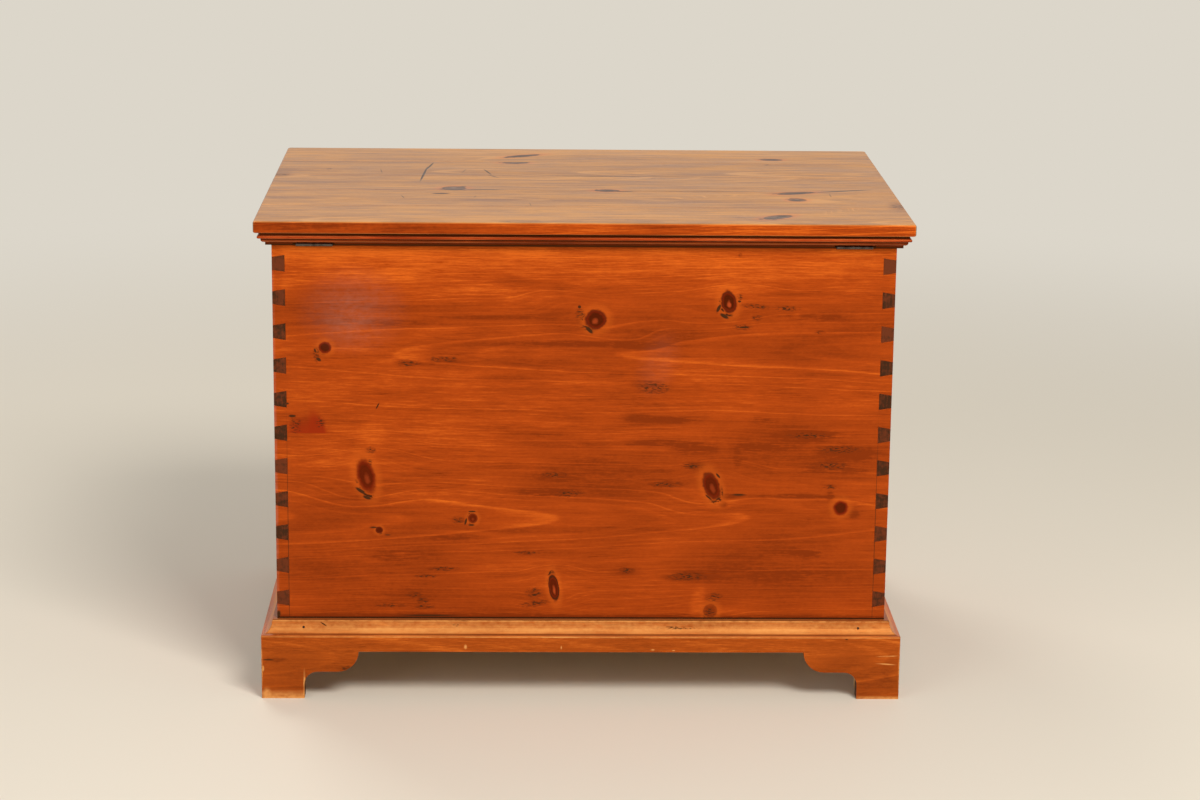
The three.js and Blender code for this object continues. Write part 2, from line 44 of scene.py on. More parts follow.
Value = float | tuple | Node | NodeSocket
Place = tuple[float, float, float]
Box = tuple[Place, Place]


def linear(hex_colour: str) -> tuple[float, float, float, float]:
    """Turns an sRGB hex colour into linear light.

    Args:
        hex_colour: six hex digits, such as "c25316".

    Returns:
        Red, green, blue and an alpha of 1.
    """
    shares = [int(hex_colour[i:i + 2], 16) / 255 for i in (0, 2, 4)]
    return (*[s / 12.92 if s <= 0.04045 else ((s + 0.055) / 1.055) ** 2.4 for s in shares], 1.0)


def add(tree: NodeTree, kind: str, inputs: dict[int | str, Value] | None = None, **settings: object) -> Node:
    """Adds a node with its settings and its links.

    Args:
        tree: the tree that the node goes into.
        kind: the node's type, as Blender names it.
        inputs: a value for each input that is set, by the input's place or name. A node stands for its first
            output.
        settings: the node's own properties.

    Returns:
        The new node.
    """
    node = tree.nodes.new(kind)
    for name, value in settings.items():
        setattr(node, name, value)
    for key, value in (inputs or {}).items():
        source = value.outputs[0] if isinstance(value, Node) else value
        if isinstance(source, NodeSocket):
            tree.links.new(source, node.inputs[key])
        else:
            node.inputs[key].default_value = source
    return node


def paint(tree: NodeTree, ground: str, *coats: tuple[Value, Value | str]) -> Value:
    """Lays coats of colour over a ground.

    Args:
        tree: the tree that the nodes go into.
        ground: the colour of the ground.
        coats: pairs of the mask where a coat lies and its colour, from the lowest up.

    Returns:
        The colour that shows.
    """
    shown: Value = linear(ground)
    for mask, coat in coats:
        coat = linear(coat) if isinstance(coat, str) else coat
        shown = add(tree, MIX, {0: mask, 6: shown, 7: coat}, data_type="RGBA").outputs[2]
    return shown


def new_material(name: str) -> Material:
    """Makes a material whose tree is still empty.

    Args:
        name: its name.

    Returns:
        The material.
    """
    material = bpy.data.materials.new(name)
    material.use_nodes = True
    material.node_tree.nodes.clear()
    return material


# What a board is, and what shows in it


class Lay(Enum):
    """How a board lies: the object axes that run along its grain, across it and through its thickness."""

    LONG_SIDE = (0, 2, 1)
    END = (1, 2, 0)
    FLAT = (0, 1, 2)
    UPRIGHT = (2, 0, 1)


@dataclass(frozen=True)
class Heart:
    """Where the tree's pith lies from a stave, in millimetres: this sets the figure on the stave's faces.

    Args:
        across: place of the pith across the board.
        through: place of the pith through the board's thickness, at the middle of its length.
        drift: how far the pith moves through the thickness for each millimetre of length.
    """

    across: float
    through: float
    drift: float

    @property
    def line(self) -> Place:
        """The three values as a vector."""
        return (self.across, self.through, self.drift)


@dataclass(frozen=True)
class Spot:
    """An oval place on a board, in millimetres along and across the grain.

    Args:
        along: its middle along the grain.
        across: its middle across the grain.
        half_along: half its length.
        half_across: half its width.
        tilt: how far it is turned, in degrees.
        depth: how strong it is, from 0 to 1.
    """

    along: float
    across: float
    half_along: float
    half_across: float
    tilt: float = 0.0
    depth: float = 1.0

    # How far across a spot counts for a neighbouring board, in millimetres
    least_reach = 4
    most_reach = 40

    @property
    def sockets(self) -> dict[str, Value]:
        """The spot as inputs of a node group.

        Returns:
            What turns a place into distances from the spot's middle, in half sizes, and its depth.
        """
        turn_cos = cos(radians(self.tilt))
        turn_sin = sin(radians(self.tilt))
        return {
            "By Run": (turn_cos / self.half_along, turn_cos / self.half_across, 0.0),
            "By Swap": (turn_sin / self.half_along, -turn_sin / self.half_across, 0.0),
            "Shift": (-(turn_cos * self.along + turn_sin * self.across) / self.half_along,
                      -(turn_cos * self.across - turn_sin * self.along) / self.half_across, 0.0),
            "Depth": self.depth,
        }

    def reaches(self, low: float, high: float) -> bool:
        """Whether it reaches into the strip between two limits across the grain."""
        reach = min(max(self.half_across, self.least_reach), self.most_reach)
        return low < self.across + reach and self.across - reach < high


@dataclass(frozen=True)
class Knot(Spot):
    """A branch that crosses the board. Its depth is how dark the bark on its rim is.

    Args:
        stain: how much stain its rings drank.
        heart: how pale its middle is.
        arcs: direction in which black arcs of bark lie beside it, along and across. Its length is how black
            they are.
    """

    stain: float = 1.0
    heart: float = 0.5
    arcs: tuple[float, float] = (0.6, -0.6)

    @property
    def sockets(self) -> dict[str, Value]:
        """The knot as inputs of a node group."""
        return super().sockets | {"Across": (0.0, -self.across, 0.0), "Stain": self.stain, "Pale": self.heart,
                                  "Side": (*self.arcs, 0.0)}


@dataclass(frozen=True)
class Marks:
    """What shows in a board beside its rings.

    Args:
        knots: branches that cross the board.
        specks: places with rows of dark dots.
        shades: soft darker places, or lighter ones where depth is below 0.
        hairs: dark lines and small dark spots, such as scribed lines, cracks, pitch and scratches, and
            painted
        shade lines in quirks and under overhangs.
        wear_and_sheen: pale places where the finish is rubbed thin, and painted sheen and light, such as a
        lamp's hazy reflection and the light on an upward cove.
        reds: deep red places above the glue line.
    """

    knots: tuple[Knot, ...] = ()
    specks: tuple[Spot, ...] = ()
    shades: tuple[Spot, ...] = ()
    hairs: tuple[Spot, ...] = ()
    wear_and_sheen: tuple[Spot, ...] = ()
    reds: tuple[Spot, ...] = ()

    def between(self, low: float, high: float) -> "Marks":
        """Picks the marks that reach into a strip of the surface.

        Args:
            low: lower limit across the grain.
            high: upper limit across the grain.

        Returns:
            The marks in the strip.
        """
        lists = (self.knots, self.specks, self.shades, self.hairs, self.wear_and_sheen, self.reds)
        return Marks(*(tuple(spot for spot in spots if spot.reaches(low, high)) for spots in lists))


@dataclass(frozen=True)
class Board:
    """One board: how it lies, how it was sawn, and what shows in it.

    Args:
        node: the CAD node.
        lay: how the board lies.
        hearts: a pith for each stave that the board is glued from, from the lowest up.
        seam: glue line between two staves, in millimetres across.
        ring: distance between two growth rings.
        seed: picks the board's own irregularities.
        marks: knots and other marks.
        tone: how much lighter the whole board is.
        bevel: width that the edges are eased by.
    """

    node: str
    lay: Lay
    hearts: tuple[Heart, ...]
    seam: float = 0.0
    ring: float = 4.2
    seed: float = 0.0
    marks: Marks = Marks()
    tone: float = 0.0
    bevel: float = 0.4


# Finishes


@dataclass(frozen=True)
class Shellac:
    """Colours and gloss of stained and shellacked pine.

    Args:
        light: late wood, which takes little stain.
        middle: the wood's common tone.
        dark: early wood, where the stain gathers.
        speck: dark dots and hairlines, among them painted shade lines.
        worn_and_sheen: wood where the finish is rubbed thin, and the colour of painted sheen and light.
        knot: the disc of a knot.
        knot_rim: the soft rim of a knot.
        knot_heart: the middle of a knot.
        red: heartwood that took the stain deep red.
        bark: the ring round a knot.
        end_light: end grain that took little stain.
        end_dark: end grain that drank the stain.
        mirrored: amber of what the shellac mirrors head-on.
        roughness: roughness of the polished face.
        ior: the shellac's index of refraction.
    """

    light: str = "d0601a"
    middle: str = "a6400e"
    dark: str = "5a1604"
    speck: str = "2e1b10"
    worn_and_sheen: str = "e0914a"
    knot: str = "380300"
    knot_rim: str = "751404"
    knot_heart: str = "a8401c"
    red: str = "8c2208"
    bark: str = "1f0f0a"
    end_light: str = "5c2a1a"
    end_dark: str = "281a14"
    mirrored: str = "ffa050"
    roughness: float = 0.34
    ior: float = 1.5


@dataclass(frozen=True)
class BarePine:
    """Pine that was planed and left without finish: pale straw, a little darker late wood, no gloss."""

    light: str = "dcb986"
    dark: str = "b98a52"
    knot: str = "7a4524"
    roughness: float = 0.72


@dataclass(frozen=True)
class Metal:
    """A metal and its surface.

    Args:
        name: what the metal is and how its surface was made.
        colour: the metal's common tone.
        stain: tone of its darker patches.
        patch: size of the patches, in millimetres.
        roughness: roughness of the clean metal.
        bite: how much rougher the patches are.
    """

    name: str
    colour: str
    stain: str
    patch: float
    roughness: float
    bite: float

    def material(self) -> Material:
        """Builds the metal's material.

        Returns:
            The material.
        """
        material = new_material(self.name)
        tree = material.node_tree
        place = add(tree, "ShaderNodeTexCoord").outputs["Object"]
        near = add(tree, NOISE, {"Vector": place, "Scale": 1 / (self.patch * MM), "Detail": 3.0})
        fine = add(tree, NOISE, {"Vector": place, "Scale": 4 / (self.patch * MM), "Detail": 2.0})
        stained = add(tree, RANGE, {0: near, 1: 0.42, 2: 0.66}, **SMOOTH)
        colour = add(tree, MIX, {0: stained, 6: linear(self.colour), 7: linear(self.stain)}, data_type="RGBA")
        rough = add(tree, MATH, {0: stained, 1: self.bite, 2: self.roughness}, operation="MULTIPLY_ADD")
        bump = add(tree, "ShaderNodeBump", {"Strength": 0.25, "Distance": 0.1 * MM, "Height": fine})
        shader = add(tree, "ShaderNodeBsdfPrincipled", {
            "Base Color": colour.outputs[2], "Metallic": 1.0, "Roughness": rough, "Normal": bump})
        add(tree, "ShaderNodeOutputMaterial", {"Surface": shader})
        return material


# Butts of plain steel that shellac and lamp soot have browned: dull, with a soft light on the barrels.
BROWNED_STEEL = Metal("browned_steel", "625a53", "453d37", 6.0, 0.28, 0.06)
# Turned steel screws: brighter than the leaves, with brown patches of a first rust.
TURNED_STEEL = Metal("turned_steel", "8d8781", "5c4a3e", 2.0, 0.36, 0.25)
# Cut iron nails: brown oxide and rust, dull.
CUT_IRON = Metal("cut_iron", "5c4a3e", "4a2a1a", 1.5, 0.6, 0.2)


# Node groups that a board's material uses once for each spot and each knot


def new_group(name: str, inputs: dict[str, str], outputs: dict[str, str]) -> tuple[NodeTree, Node, Node]:
    """Makes an empty shader group.

    Args:
        name: the group's name.
        inputs: socket type by input name.
        outputs: socket type by output name.

    Returns:
        The group, its input node and its output node.
    """
    tree = bpy.data.node_groups.new(name, "ShaderNodeTree")
    for in_out, sockets in (("INPUT", inputs), ("OUTPUT", outputs)):
        for socket, kind in sockets.items():
            tree.interface.new_socket(socket, in_out=in_out, socket_type="NodeSocket" + kind)
    return tree, add(tree, "NodeGroupInput"), add(tree, "NodeGroupOutput")


PLACE_INPUTS = {"Run": "Vector", "Swap": "Vector", "By Run": "Vector", "By Swap": "Vector", "Shift": "Vector",
                "Depth": "Float"}
KNOT_MASKS = ("Disc", "Heart", "Bark", "Halo", "Blush", "Arcs")
ARC_RADIUS = 1.35  # where arcs of bark lie beside a knot, in radii of the knot
KNOT_RINGS = 24.0  # how fast a knot's own rings follow each other, in radians for each radius


def spot_group() -> NodeTree:
    """Makes the group that adds one soft oval spot to a mask.

    Returns:
        The group.
    """
    tree, given, result = new_group("pine_spot", PLACE_INPUTS | {"Mask": "Float"}, {"Mask": "Float"})
    given = given.outputs
    local: Value = given["Shift"]
    for place, size in (("Run", "By Run"), ("Swap", "By Swap")):
        local = add(tree, VECTOR, {0: given[place], 1: given[size], 2: local}, operation="MULTIPLY_ADD")
    far = add(tree, VECTOR, {0: local}, operation="LENGTH").outputs["Value"]
    soft = add(tree, RANGE, {0: far, 1: 0.2, 2: 1.0, 3: given["Depth"], 4: 0.0}, **SMOOTH)
    total = add(tree, MATH, {0: soft, 1: given["Mask"]}, operation="ADD")
    tree.links.new(total.outputs[0], result.inputs["Mask"])
    return tree


def knot_group() -> NodeTree:
    """Makes the group that adds one knot: disc, ring of bark, and growth rings that flow round it.

    Returns:
        The group.
    """
    passed_on = {"Flow": "Vector"} | {name: "Float" for name in KNOT_MASKS}
    own = {"Across": "Vector", "Side": "Vector", "Rough": "Float", "Stain": "Float", "Pale": "Float"}
    tree, given, result = new_group("pine_knot", PLACE_INPUTS | own | passed_on, passed_on)
    given = given.outputs
    local: Value = given["Shift"]
    for place, size in (("Run", "By Run"), ("Swap", "By Swap")):
        local = add(tree, VECTOR, {0: given[place], 1: given[size], 2: local}, operation="MULTIPLY_ADD")
    far = add(tree, VECTOR, {0: local}, operation="LENGTH").outputs["Value"]
    uneven = add(tree, MATH, {0: given["Rough"], 1: 0.4, 2: far}, operation="MULTIPLY_ADD")
    # The pale middle lies low in the knot.
    low = add(tree, VECTOR, {0: local, 1: (1.2, 1.0, 0.0), 2: (0.0, 0.22, 0.0)}, operation="MULTIPLY_ADD")
    low_far = add(tree, VECTOR, {0: low}, operation="LENGTH").outputs["Value"]
    low_far = add(tree, MATH, {0: given["Rough"], 1: 0.5, 2: low_far}, operation="MULTIPLY_ADD")
    past_rim = add(tree, MATH, {0: uneven, 1: 1.0}, operation="SUBTRACT")
    past_arc = add(tree, MATH, {0: uneven, 1: ARC_RADIUS}, operation="SUBTRACT")
    off_rim, off_arc = (add(tree, MATH, {0: past}, operation="ABSOLUTE") for past in (past_rim, past_arc))
    beside = add(tree, VECTOR, {0: local, 1: given["Side"]}, operation="DOT_PRODUCT").outputs["Value"]
    beside = add(tree, RANGE, {0: beside, 1: 0.5, 2: 1.2}, **SMOOTH)
    ragged = add(tree, RANGE, {0: given["Rough"], 1: -0.08, 2: 0.06}, **SMOOTH)
    arc = add(tree, MATH, {0: beside, 1: ragged}, operation="MULTIPLY")
    wave = add(tree, MATH, {0: uneven, 1: KNOT_RINGS}, operation="MULTIPLY")
    wave = add(tree, MATH, {0: wave}, operation="SINE")
    ringed = add(tree, MATH, {0: wave, 1: 0.05, 2: 0.95}, operation="MULTIPLY_ADD")
    stained = add(tree, MATH, {0: ringed, 1: given["Stain"]}, operation="MULTIPLY")
    blushed = add(tree, MATH, {0: given["Stain"], 1: 1.35}, operation="MULTIPLY")
    # Each mask: what it fades with, from where to where in radii of the knot, and how strong it is
    masks = (
        ("Disc", uneven, 0.65, 1.0, stained),
        ("Blush", uneven, 0.8, 1.35, blushed),
        ("Halo", uneven, 1.2, 2.3, 1.0),
        ("Heart", low_far, 0.1, 0.5, given["Pale"]),
        ("Bark", off_rim, 0.02, 0.2, given["Depth"]),
        ("Arcs", off_arc, 0.04, 0.2, arc),
    )
    for name, distance, inner, outer, depth in masks:
        one = add(tree, RANGE, {0: distance, 1: inner, 2: outer, 3: depth, 4: 0.0}, **SMOOTH)
        total = add(tree, MATH, {0: one, 1: given[name]}, operation="MAXIMUM")
        tree.links.new(total.outputs[0], result.inputs[name])
    # The board's rings part in good time along the grain, and close up soon across it.
    reach = add(tree, VECTOR, {0: local, 1: (0.3, 1.0, 0.0)}, operation="MULTIPLY")
    reach_far = add(tree, VECTOR, {0: reach}, operation="LENGTH").outputs["Value"]
    push = add(tree, RANGE, {0: reach_far, 1: 0.0, 2: 3.2, 3: 0.9, 4: 0.0}, **SMOOTH)
    sideways = add(tree, VECTOR, {0: given["Run"], 1: (0.0, 1.0, 0.0), 2: given["Across"]},
                   operation="MULTIPLY_ADD")
    pushed = add(tree, VECTOR, {0: sideways, "Scale": push}, operation="SCALE")
    flow = add(tree, VECTOR, {0: given["Flow"], 1: pushed}, operation="SUBTRACT")
    tree.links.new(flow.outputs[0], result.inputs["Flow"])
    return tree


@dataclass
class Surface:
    """The tree of one board's material, with the coordinates that its layers share.

    Args:
        tree: the material's tree.
        board: the board.
        cloud: the cloudy patterns by name, with values about 0.
    """

    tree: NodeTree
    board: Board
    cloud: dict[str, NodeSocket] = field(default_factory=dict)

    def __post_init__(self) -> None:
        """Adds millimetres along the object's axes and along the grain, and the way the surface faces."""
        here = add(self.tree, "ShaderNodeTexCoord").outputs
        self.normal: NodeSocket = here["Normal"]
        self.place: Node = add(self.tree, VECTOR, {0: here["Object"], 1: (1 / MM,) * 3}, operation="MULTIPLY")
        self.axes = add(self.tree, SPLIT, {0: self.place}).outputs
        ways = [self.axes[axis] for axis in self.board.lay.value]
        self.run: Node = add(self.tree, JOIN, dict(enumerate(ways)))
        self.swap: Node = add(self.tree, JOIN, {0: ways[1], 1: ways[0]})
        self.along, self.across, self.through = add(self.tree, SPLIT, {0: self.run}).outputs

    def play(self, start: Value, *plays: tuple[str | Value, Value]) -> Value:
        """Adds patterns to a value, each of them times its weight.

        Args:
            start: the value to begin with.
            plays: pairs of a pattern, or a cloudy pattern's name, and its weight.

        Returns:
            The sum.
        """
        for pattern, weight in plays:
            pattern = self.cloud[pattern] if isinstance(pattern, str) else pattern
            start = add(self.tree, MATH, {0: pattern, 1: weight, 2: start}, operation="MULTIPLY_ADD")
        return start


@dataclass
class Pine:
    """Eastern white pine, stained and shellacked outside and left bare inside.

    It was planed, stained with an orange dye and given thin coats of shellac. That gives the eye long fine
    lines of light late wood, cloudy streaks where the soft early wood drank more stain, dark red knots that
    the lines flow round, and brown to nearly black end grain under a soft worn gloss.

    Args:
        shellac: colours and gloss of the finished faces.
        bare: colours of the faces left without finish.
        bare_box: lower and upper corner of the space in which faces are bare, in millimetres.
        veil: dark and light tone of the paler veil on the upper face: partly a faded finish, partly painted
        reflection of the pale surroundings.
        veil_share: how much of the upper face's colour the veil makes up.
        veil_height: level above which a face is the upper face, in millimetres.
        contrast: how strongly the wood's figure shows.
        least_tone: the darkest tone that stain alone gives, where 0 is dark and 1 is light.
        breadth: how much broader than usual the streaks are.
        rub: how far the finish is rubbed off the edges.
        relief: height of the grain, in millimetres.
        pin_pitch: distance between two dovetail pins, which take the stain each in its own way.
        first_pin: level of the middle of the highest pin.
        knot_tree: the node group of a knot.
        spot_tree: the node group of a spot.
    """

    shellac: Shellac
    bare: BarePine
    bare_box: Box
    veil: tuple[str, str] = ("8c5c32", "c89150")
    veil_share: float = 0.0
    veil_height: float = 689.0
    contrast: float = 1.0
    least_tone: float = -0.08
    breadth: float = 1.0
    rub: float = 0.0
    relief: float = 0.12
    pin_pitch: float = 48.66
    first_pin: float = 630.8
    knot_tree: NodeTree = field(default_factory=knot_group)
    spot_tree: NodeTree = field(default_factory=spot_group)

    # Patterns: millimetres along, across and through, and how many finer layers
    patterns = {
        "wander": ((420.0, 90.0, 90.0), 1.0),  # slow bends of the rings
        "waver": ((120.0, 18.0, 18.0), 2.0),  # small bends of the rings
        "streak": ((180.0, 12.0, 12.0), 2.0),
        "line": ((90.0, 4.0, 4.0), 2.0),
        "blotch": ((130.0, 44.0, 44.0), 2.0),
        "fibre": ((24.0, 2.0, 2.0), 2.0),  # bundles of fibres, because one fibre is too fine to show
        "dots": ((6.0, 1.6, 1.6), 1.0),
        "rough": ((9.0, 6.0, 6.0), 2.0),
    }
    broadened = ("streak", "line", "fibre")
    seed_steps = (913.0, 371.0, 149.0)  # how far one step of a seed shifts the patterns, in millimetres
    bends = (("wander", 26.0), ("waver", 4.0))  # how far the rings bend across, in millimetres
    late_wood = (0.55, 0.9)  # share of a year at which late wood begins, and at which it is darkest
    weather_pace = 0.35  # how fast good and poor years follow each other
    weather_shift = 2.2  # by how many years they shift a ring
    common_tone = 0.42  # the tone of plain wood, where 0 is dark and 1 is light
    ring_play = 0.31  # how much lighter the strongest ring is
    late_play = 0.08  # how much lighter late wood is in any ring

    # How much each pattern adds to the tone of the stain, to the streaks of a darker patch, to the wear and
    # painted sheen, to the late wood of a bare face, and to the roughness
    stain_play = (("streak", 0.5), ("line", 0.6), ("blotch", 0.7), ("fibre", 0.8), ("dots", -0.3))
    patch_play = (("streak", 3.0), ("fibre", 5.5), ("rough", 1.5))
    wear_and_sheen_play = (("streak", 1.4), ("rough", 2.2))
    bare_play = (("fibre", 0.8), ("streak", 0.8))
    gloss_play = (("blotch", 0.25), ("fibre", 0.15))

    def clouds(self, surface: Surface) -> dict[str, NodeSocket]:
        """Adds the cloudy patterns.

        Args:
            surface: the board's tree and coordinates.

        Returns:
            Each pattern by name, with values about 0.
        """
        tree = surface.tree
        shift = tuple(surface.board.seed * step for step in self.seed_steps)
        shifted = add(tree, VECTOR, {0: surface.run, 1: shift}, operation="ADD")
        found = {}
        for name, (size, detail) in self.patterns.items():
            broad = self.breadth if name in self.broadened else 1.0
            grown = (size[0] * broad, size[1] * broad, size[2])
            scaled = add(tree, VECTOR, {0: shifted, 1: grown}, operation="DIVIDE")
            cloud = add(tree, NOISE, {"Vector": scaled, "Scale": 1.0, "Detail": detail, "Roughness": 0.6})
            found[name] = add(tree, MATH, {0: cloud, 1: 0.5}, operation="SUBTRACT").outputs[0]
        return found

    def spots(self, surface: Surface, spots: tuple[Spot, ...]) -> Value:
        """Adds a mask made of spots.

        Args:
            surface: the board's tree and coordinates.
            spots: the spots.

        Returns:
            The mask, or 0 where there are no spots.
        """
        mask: Value = 0.0
        for spot in spots:
            given = {"Run": surface.run, "Swap": surface.swap, "Mask": mask}
            mask = add(surface.tree, GROUP, given | spot.sockets, node_tree=self.spot_tree).outputs[0]
        return mask

    def knots(self, surface: Surface) -> dict[str, Value]:
        """Adds the knots.

        Args:
            surface: the board's tree and coordinates.

        Returns:
            The coordinates that flow round the knots, and the masks of the knots' parts.
        """
        found: dict[str, Value] = {"Flow": surface.run} | {name: 0.0 for name in KNOT_MASKS}
        for knot in surface.board.marks.knots:
            given = {"Run": surface.run, "Swap": surface.swap, "Rough": surface.cloud["rough"]}
            group = add(surface.tree, GROUP, given | found | knot.sockets, node_tree=self.knot_tree)
            found = {name: group.outputs[name] for name in found}
        return found

    def rings(self, surface: Surface, flow: Value) -> tuple[Node, Node]:
        """Adds the growth rings.

        Args:
            surface: the board's tree and coordinates.
            flow: millimetres along, across and through, bent round the knots.

        Returns:
            A mask of the late wood, and how strongly each ring shows.
        """
        tree, board = surface.tree, surface.board
        bent = add(tree, SPLIT, {0: flow}).outputs[1]
        pith: Value = board.hearts[0].line
        if len(board.hearts) > 1:
            upper = add(tree, MATH, {0: surface.across, 1: board.seam}, operation="GREATER_THAN")
            pith = add(tree, MIX, {0: upper, 4: pith, 5: board.hearts[1].line}, data_type="VECTOR").outputs[1]
            pith = add(tree, SPLIT, {0: pith}).outputs
        across = surface.play(bent, *self.bends)
        side = add(tree, MATH, {0: across, 1: pith[0]}, operation="SUBTRACT")
        lean = add(tree, MATH, {0: surface.along, 1: pith[2]}, operation="MULTIPLY")
        deep = add(tree, MATH, {0: surface.through, 1: lean}, operation="SUBTRACT")
        deep = add(tree, MATH, {0: deep, 1: pith[1]}, operation="SUBTRACT")
        reach = add(tree, JOIN, {0: side, 1: deep})
        reach = add(tree, VECTOR, {0: reach}, operation="LENGTH").outputs["Value"]
        years = add(tree, MATH, {0: reach, 1: board.ring}, operation="DIVIDE")
        # Good and poor years: rings come closer together and further apart.
        weather = add(tree, NOISE, {"W": years, "Scale": self.weather_pace, "Detail": 1.0},
                      noise_dimensions="1D")
        years = add(tree, MATH, {0: weather, 1: self.weather_shift, 2: years}, operation="MULTIPLY_ADD")
        season = add(tree, MATH, {0: years}, operation="FRACT")
        begin, darkest = self.late_wood
        rise = add(tree, RANGE, {0: season, 1: begin, 2: darkest}, **SMOOTH)
        drop = add(tree, RANGE, {0: season, 1: darkest, 2: 1.0, 3: 1.0, 4: 0.0}, **SMOOTH)
        late = add(tree, MATH, {0: rise, 1: drop}, operation="MULTIPLY")
        year = add(tree, MATH, {0: years}, operation="FLOOR")
        share = add(tree, "ShaderNodeTexWhiteNoise", {"W": year}, noise_dimensions="1D")
        strength = add(tree, MATH, {0: share, 1: 2.0}, operation="POWER")
        return late, strength

    def tone(self, surface: Surface, late: Value, ring: Value, patch: Value) -> Value:
        """Adds how much stain each place took.

        Args:
            surface: the board's tree and coordinates.
            late: mask of the late wood.
            ring: the same, with the strength of each ring.
            patch: soft places that are darker, or lighter where it is below 0.

        Returns:
            The tone: 0 is dark, 1 is light.
        """
        tree = surface.tree
        plays = ((ring, self.ring_play), (late, self.late_play), *self.stain_play)
        plays = ((pattern, weight * self.contrast) for pattern, weight in plays)
        tone = surface.play(self.common_tone + surface.board.tone, *plays)
        # The darker patches follow the grain: they are broken into streaks.
        broken = surface.play(1.15, *self.patch_play)
        broken = add(tree, MATH, {0: broken, 1: 0.1}, operation="MAXIMUM")
        paler = add(tree, MATH, {0: patch, 1: 0.0}, operation="MINIMUM")
        darker = add(tree, MATH, {0: patch, 1: 0.0}, operation="MAXIMUM")
        patch = add(tree, MATH, {0: darker, 1: broken, 2: paler}, operation="MULTIPLY_ADD")
        patch = add(tree, MATH, {0: patch, 1: self.reached(surface)}, operation="MULTIPLY")
        tone = add(tree, MATH, {0: tone, 1: patch}, operation="SUBTRACT")
        return add(tree, MATH, {0: tone, 1: self.least_tone}, operation="MAXIMUM")

    def reached(self, surface: Surface) -> Node:
        """Adds where shades and hairs, painted shade among them, show: all but the faces that look down."""
        upward = add(surface.tree, SPLIT, {0: surface.normal}).outputs[2]
        return add(surface.tree, RANGE, {0: upward, 1: -0.85, 2: -0.5}, **SMOOTH)

    def wear_and_sheen(self, surface: Surface, facing: Node) -> Value:
        """Adds where the finish is rubbed thin, and the painted sheen and light that some wear spots carry.

        Args:
            surface: the board's tree and coordinates.
            facing: how squarely the surface faces each axis.

        Returns:
            The mask.
        """
        tree = surface.tree
        wear_and_sheen = surface.play(1.0, *self.wear_and_sheen_play)
        places = self.spots(surface, surface.board.marks.wear_and_sheen)
        wear_and_sheen = add(tree, MATH, {0: wear_and_sheen, 1: places}, operation="MULTIPLY")
        if not self.rub:
            return wear_and_sheen
        # An eased edge faces two ways at once.
        faces = add(tree, SPLIT, {0: facing}).outputs
        turned = add(tree, JOIN, {0: faces[1], 1: faces[2], 2: faces[0]})
        both = add(tree, VECTOR, {0: facing, 1: turned}, operation="DOT_PRODUCT").outputs["Value"]
        edge = add(tree, RANGE, {0: both, 1: 0.3, 2: 0.5, 4: self.rub}, **SMOOTH)
        patchy = add(tree, RANGE, {0: surface.cloud["blotch"], 1: -0.16, 2: 0.12, 3: 0.25, 4: 1.0})
        return add(tree, MATH, {0: edge, 1: patchy, 2: wear_and_sheen}, operation="MULTIPLY_ADD")

    def end_grain(self, surface: Surface, facing: Node, late: Value, shade: Value) -> tuple[Node, Node]:
        """Adds the end grain. Each pin and each tail drank the stain in its own way.

        Args:
            surface: the board's tree and coordinates.
            facing: how squarely the surface faces each axis.
            late: mask of the late wood.
            shade: soft darker places.

        Returns:
            Where end grain shows, and where it drank the stain.
        """
        tree, board = surface.tree, surface.board
        squarely = add(tree, SPLIT, {0: facing}).outputs[board.lay.value[0]]
        end = add(tree, RANGE, {0: squarely, 1: 0.55, 2: 0.8}, **SMOOTH)
        # A pin's tone runs from halfway below it to halfway above it, and a tail's from pin to pin.
        half = self.pin_pitch / 2 if board.lay is Lay.END else 0.0
        pin = add(tree, MATH, {0: surface.across, 1: self.first_pin + half}, operation="SUBTRACT")
        pin = add(tree, MATH, {0: pin, 1: self.pin_pitch}, operation="DIVIDE")
        pin = add(tree, MATH, {0: pin}, operation="FLOOR")
        side = add(tree, MATH, {0: surface.axes[0]}, operation="SIGN")
        corner = add(tree, JOIN, {0: pin, 1: side, 2: board.seed})
        thirst = add(tree, "ShaderNodeTexWhiteNoise", {0: corner}, noise_dimensions="3D")
        drunk = surface.play(thirst, ("rough", 2.5), (late, -0.35))
        drunk = add(tree, MATH, {0: drunk, 1: shade}, operation="ADD")
        drunk = add(tree, RANGE, {0: drunk, 1: 0.0, 2: 0.8})
        return end, add(tree, MATH, {0: end, 1: drunk}, operation="MULTIPLY")

    def veil_coat(self, surface: Surface, facing: Node, tone: Value) -> tuple[Node, Value]:
        """Adds the lid's pale upper-face veil: partly faded finish, partly painted reflection of the
        surroundings.

        Args:
            surface: the board's tree and coordinates.
            facing: how squarely the surface faces each axis.
            tone: how much stain each place took.

        Returns:
            Where the veil lies, and its colour.
        """
        tree = surface.tree
        squarely = add(tree, SPLIT, {0: facing}).outputs[2]
        upper = add(tree, RANGE, {0: squarely, 1: 0.6, 2: 0.92, 4: self.veil_share}, **SMOOTH)
        high_up = add(tree, MATH, {0: surface.axes[2], 1: self.veil_height}, operation="GREATER_THAN")
        veiled = add(tree, MATH, {0: upper, 1: high_up}, operation="MULTIPLY")
        washed = add(tree, RANGE, {0: tone, 1: 0.05, 2: 0.85})
        dark, light = (linear(shade) for shade in self.veil)
        return veiled, add(tree, MIX, {0: washed, 6: dark, 7: light}, data_type="RGBA").outputs[2]

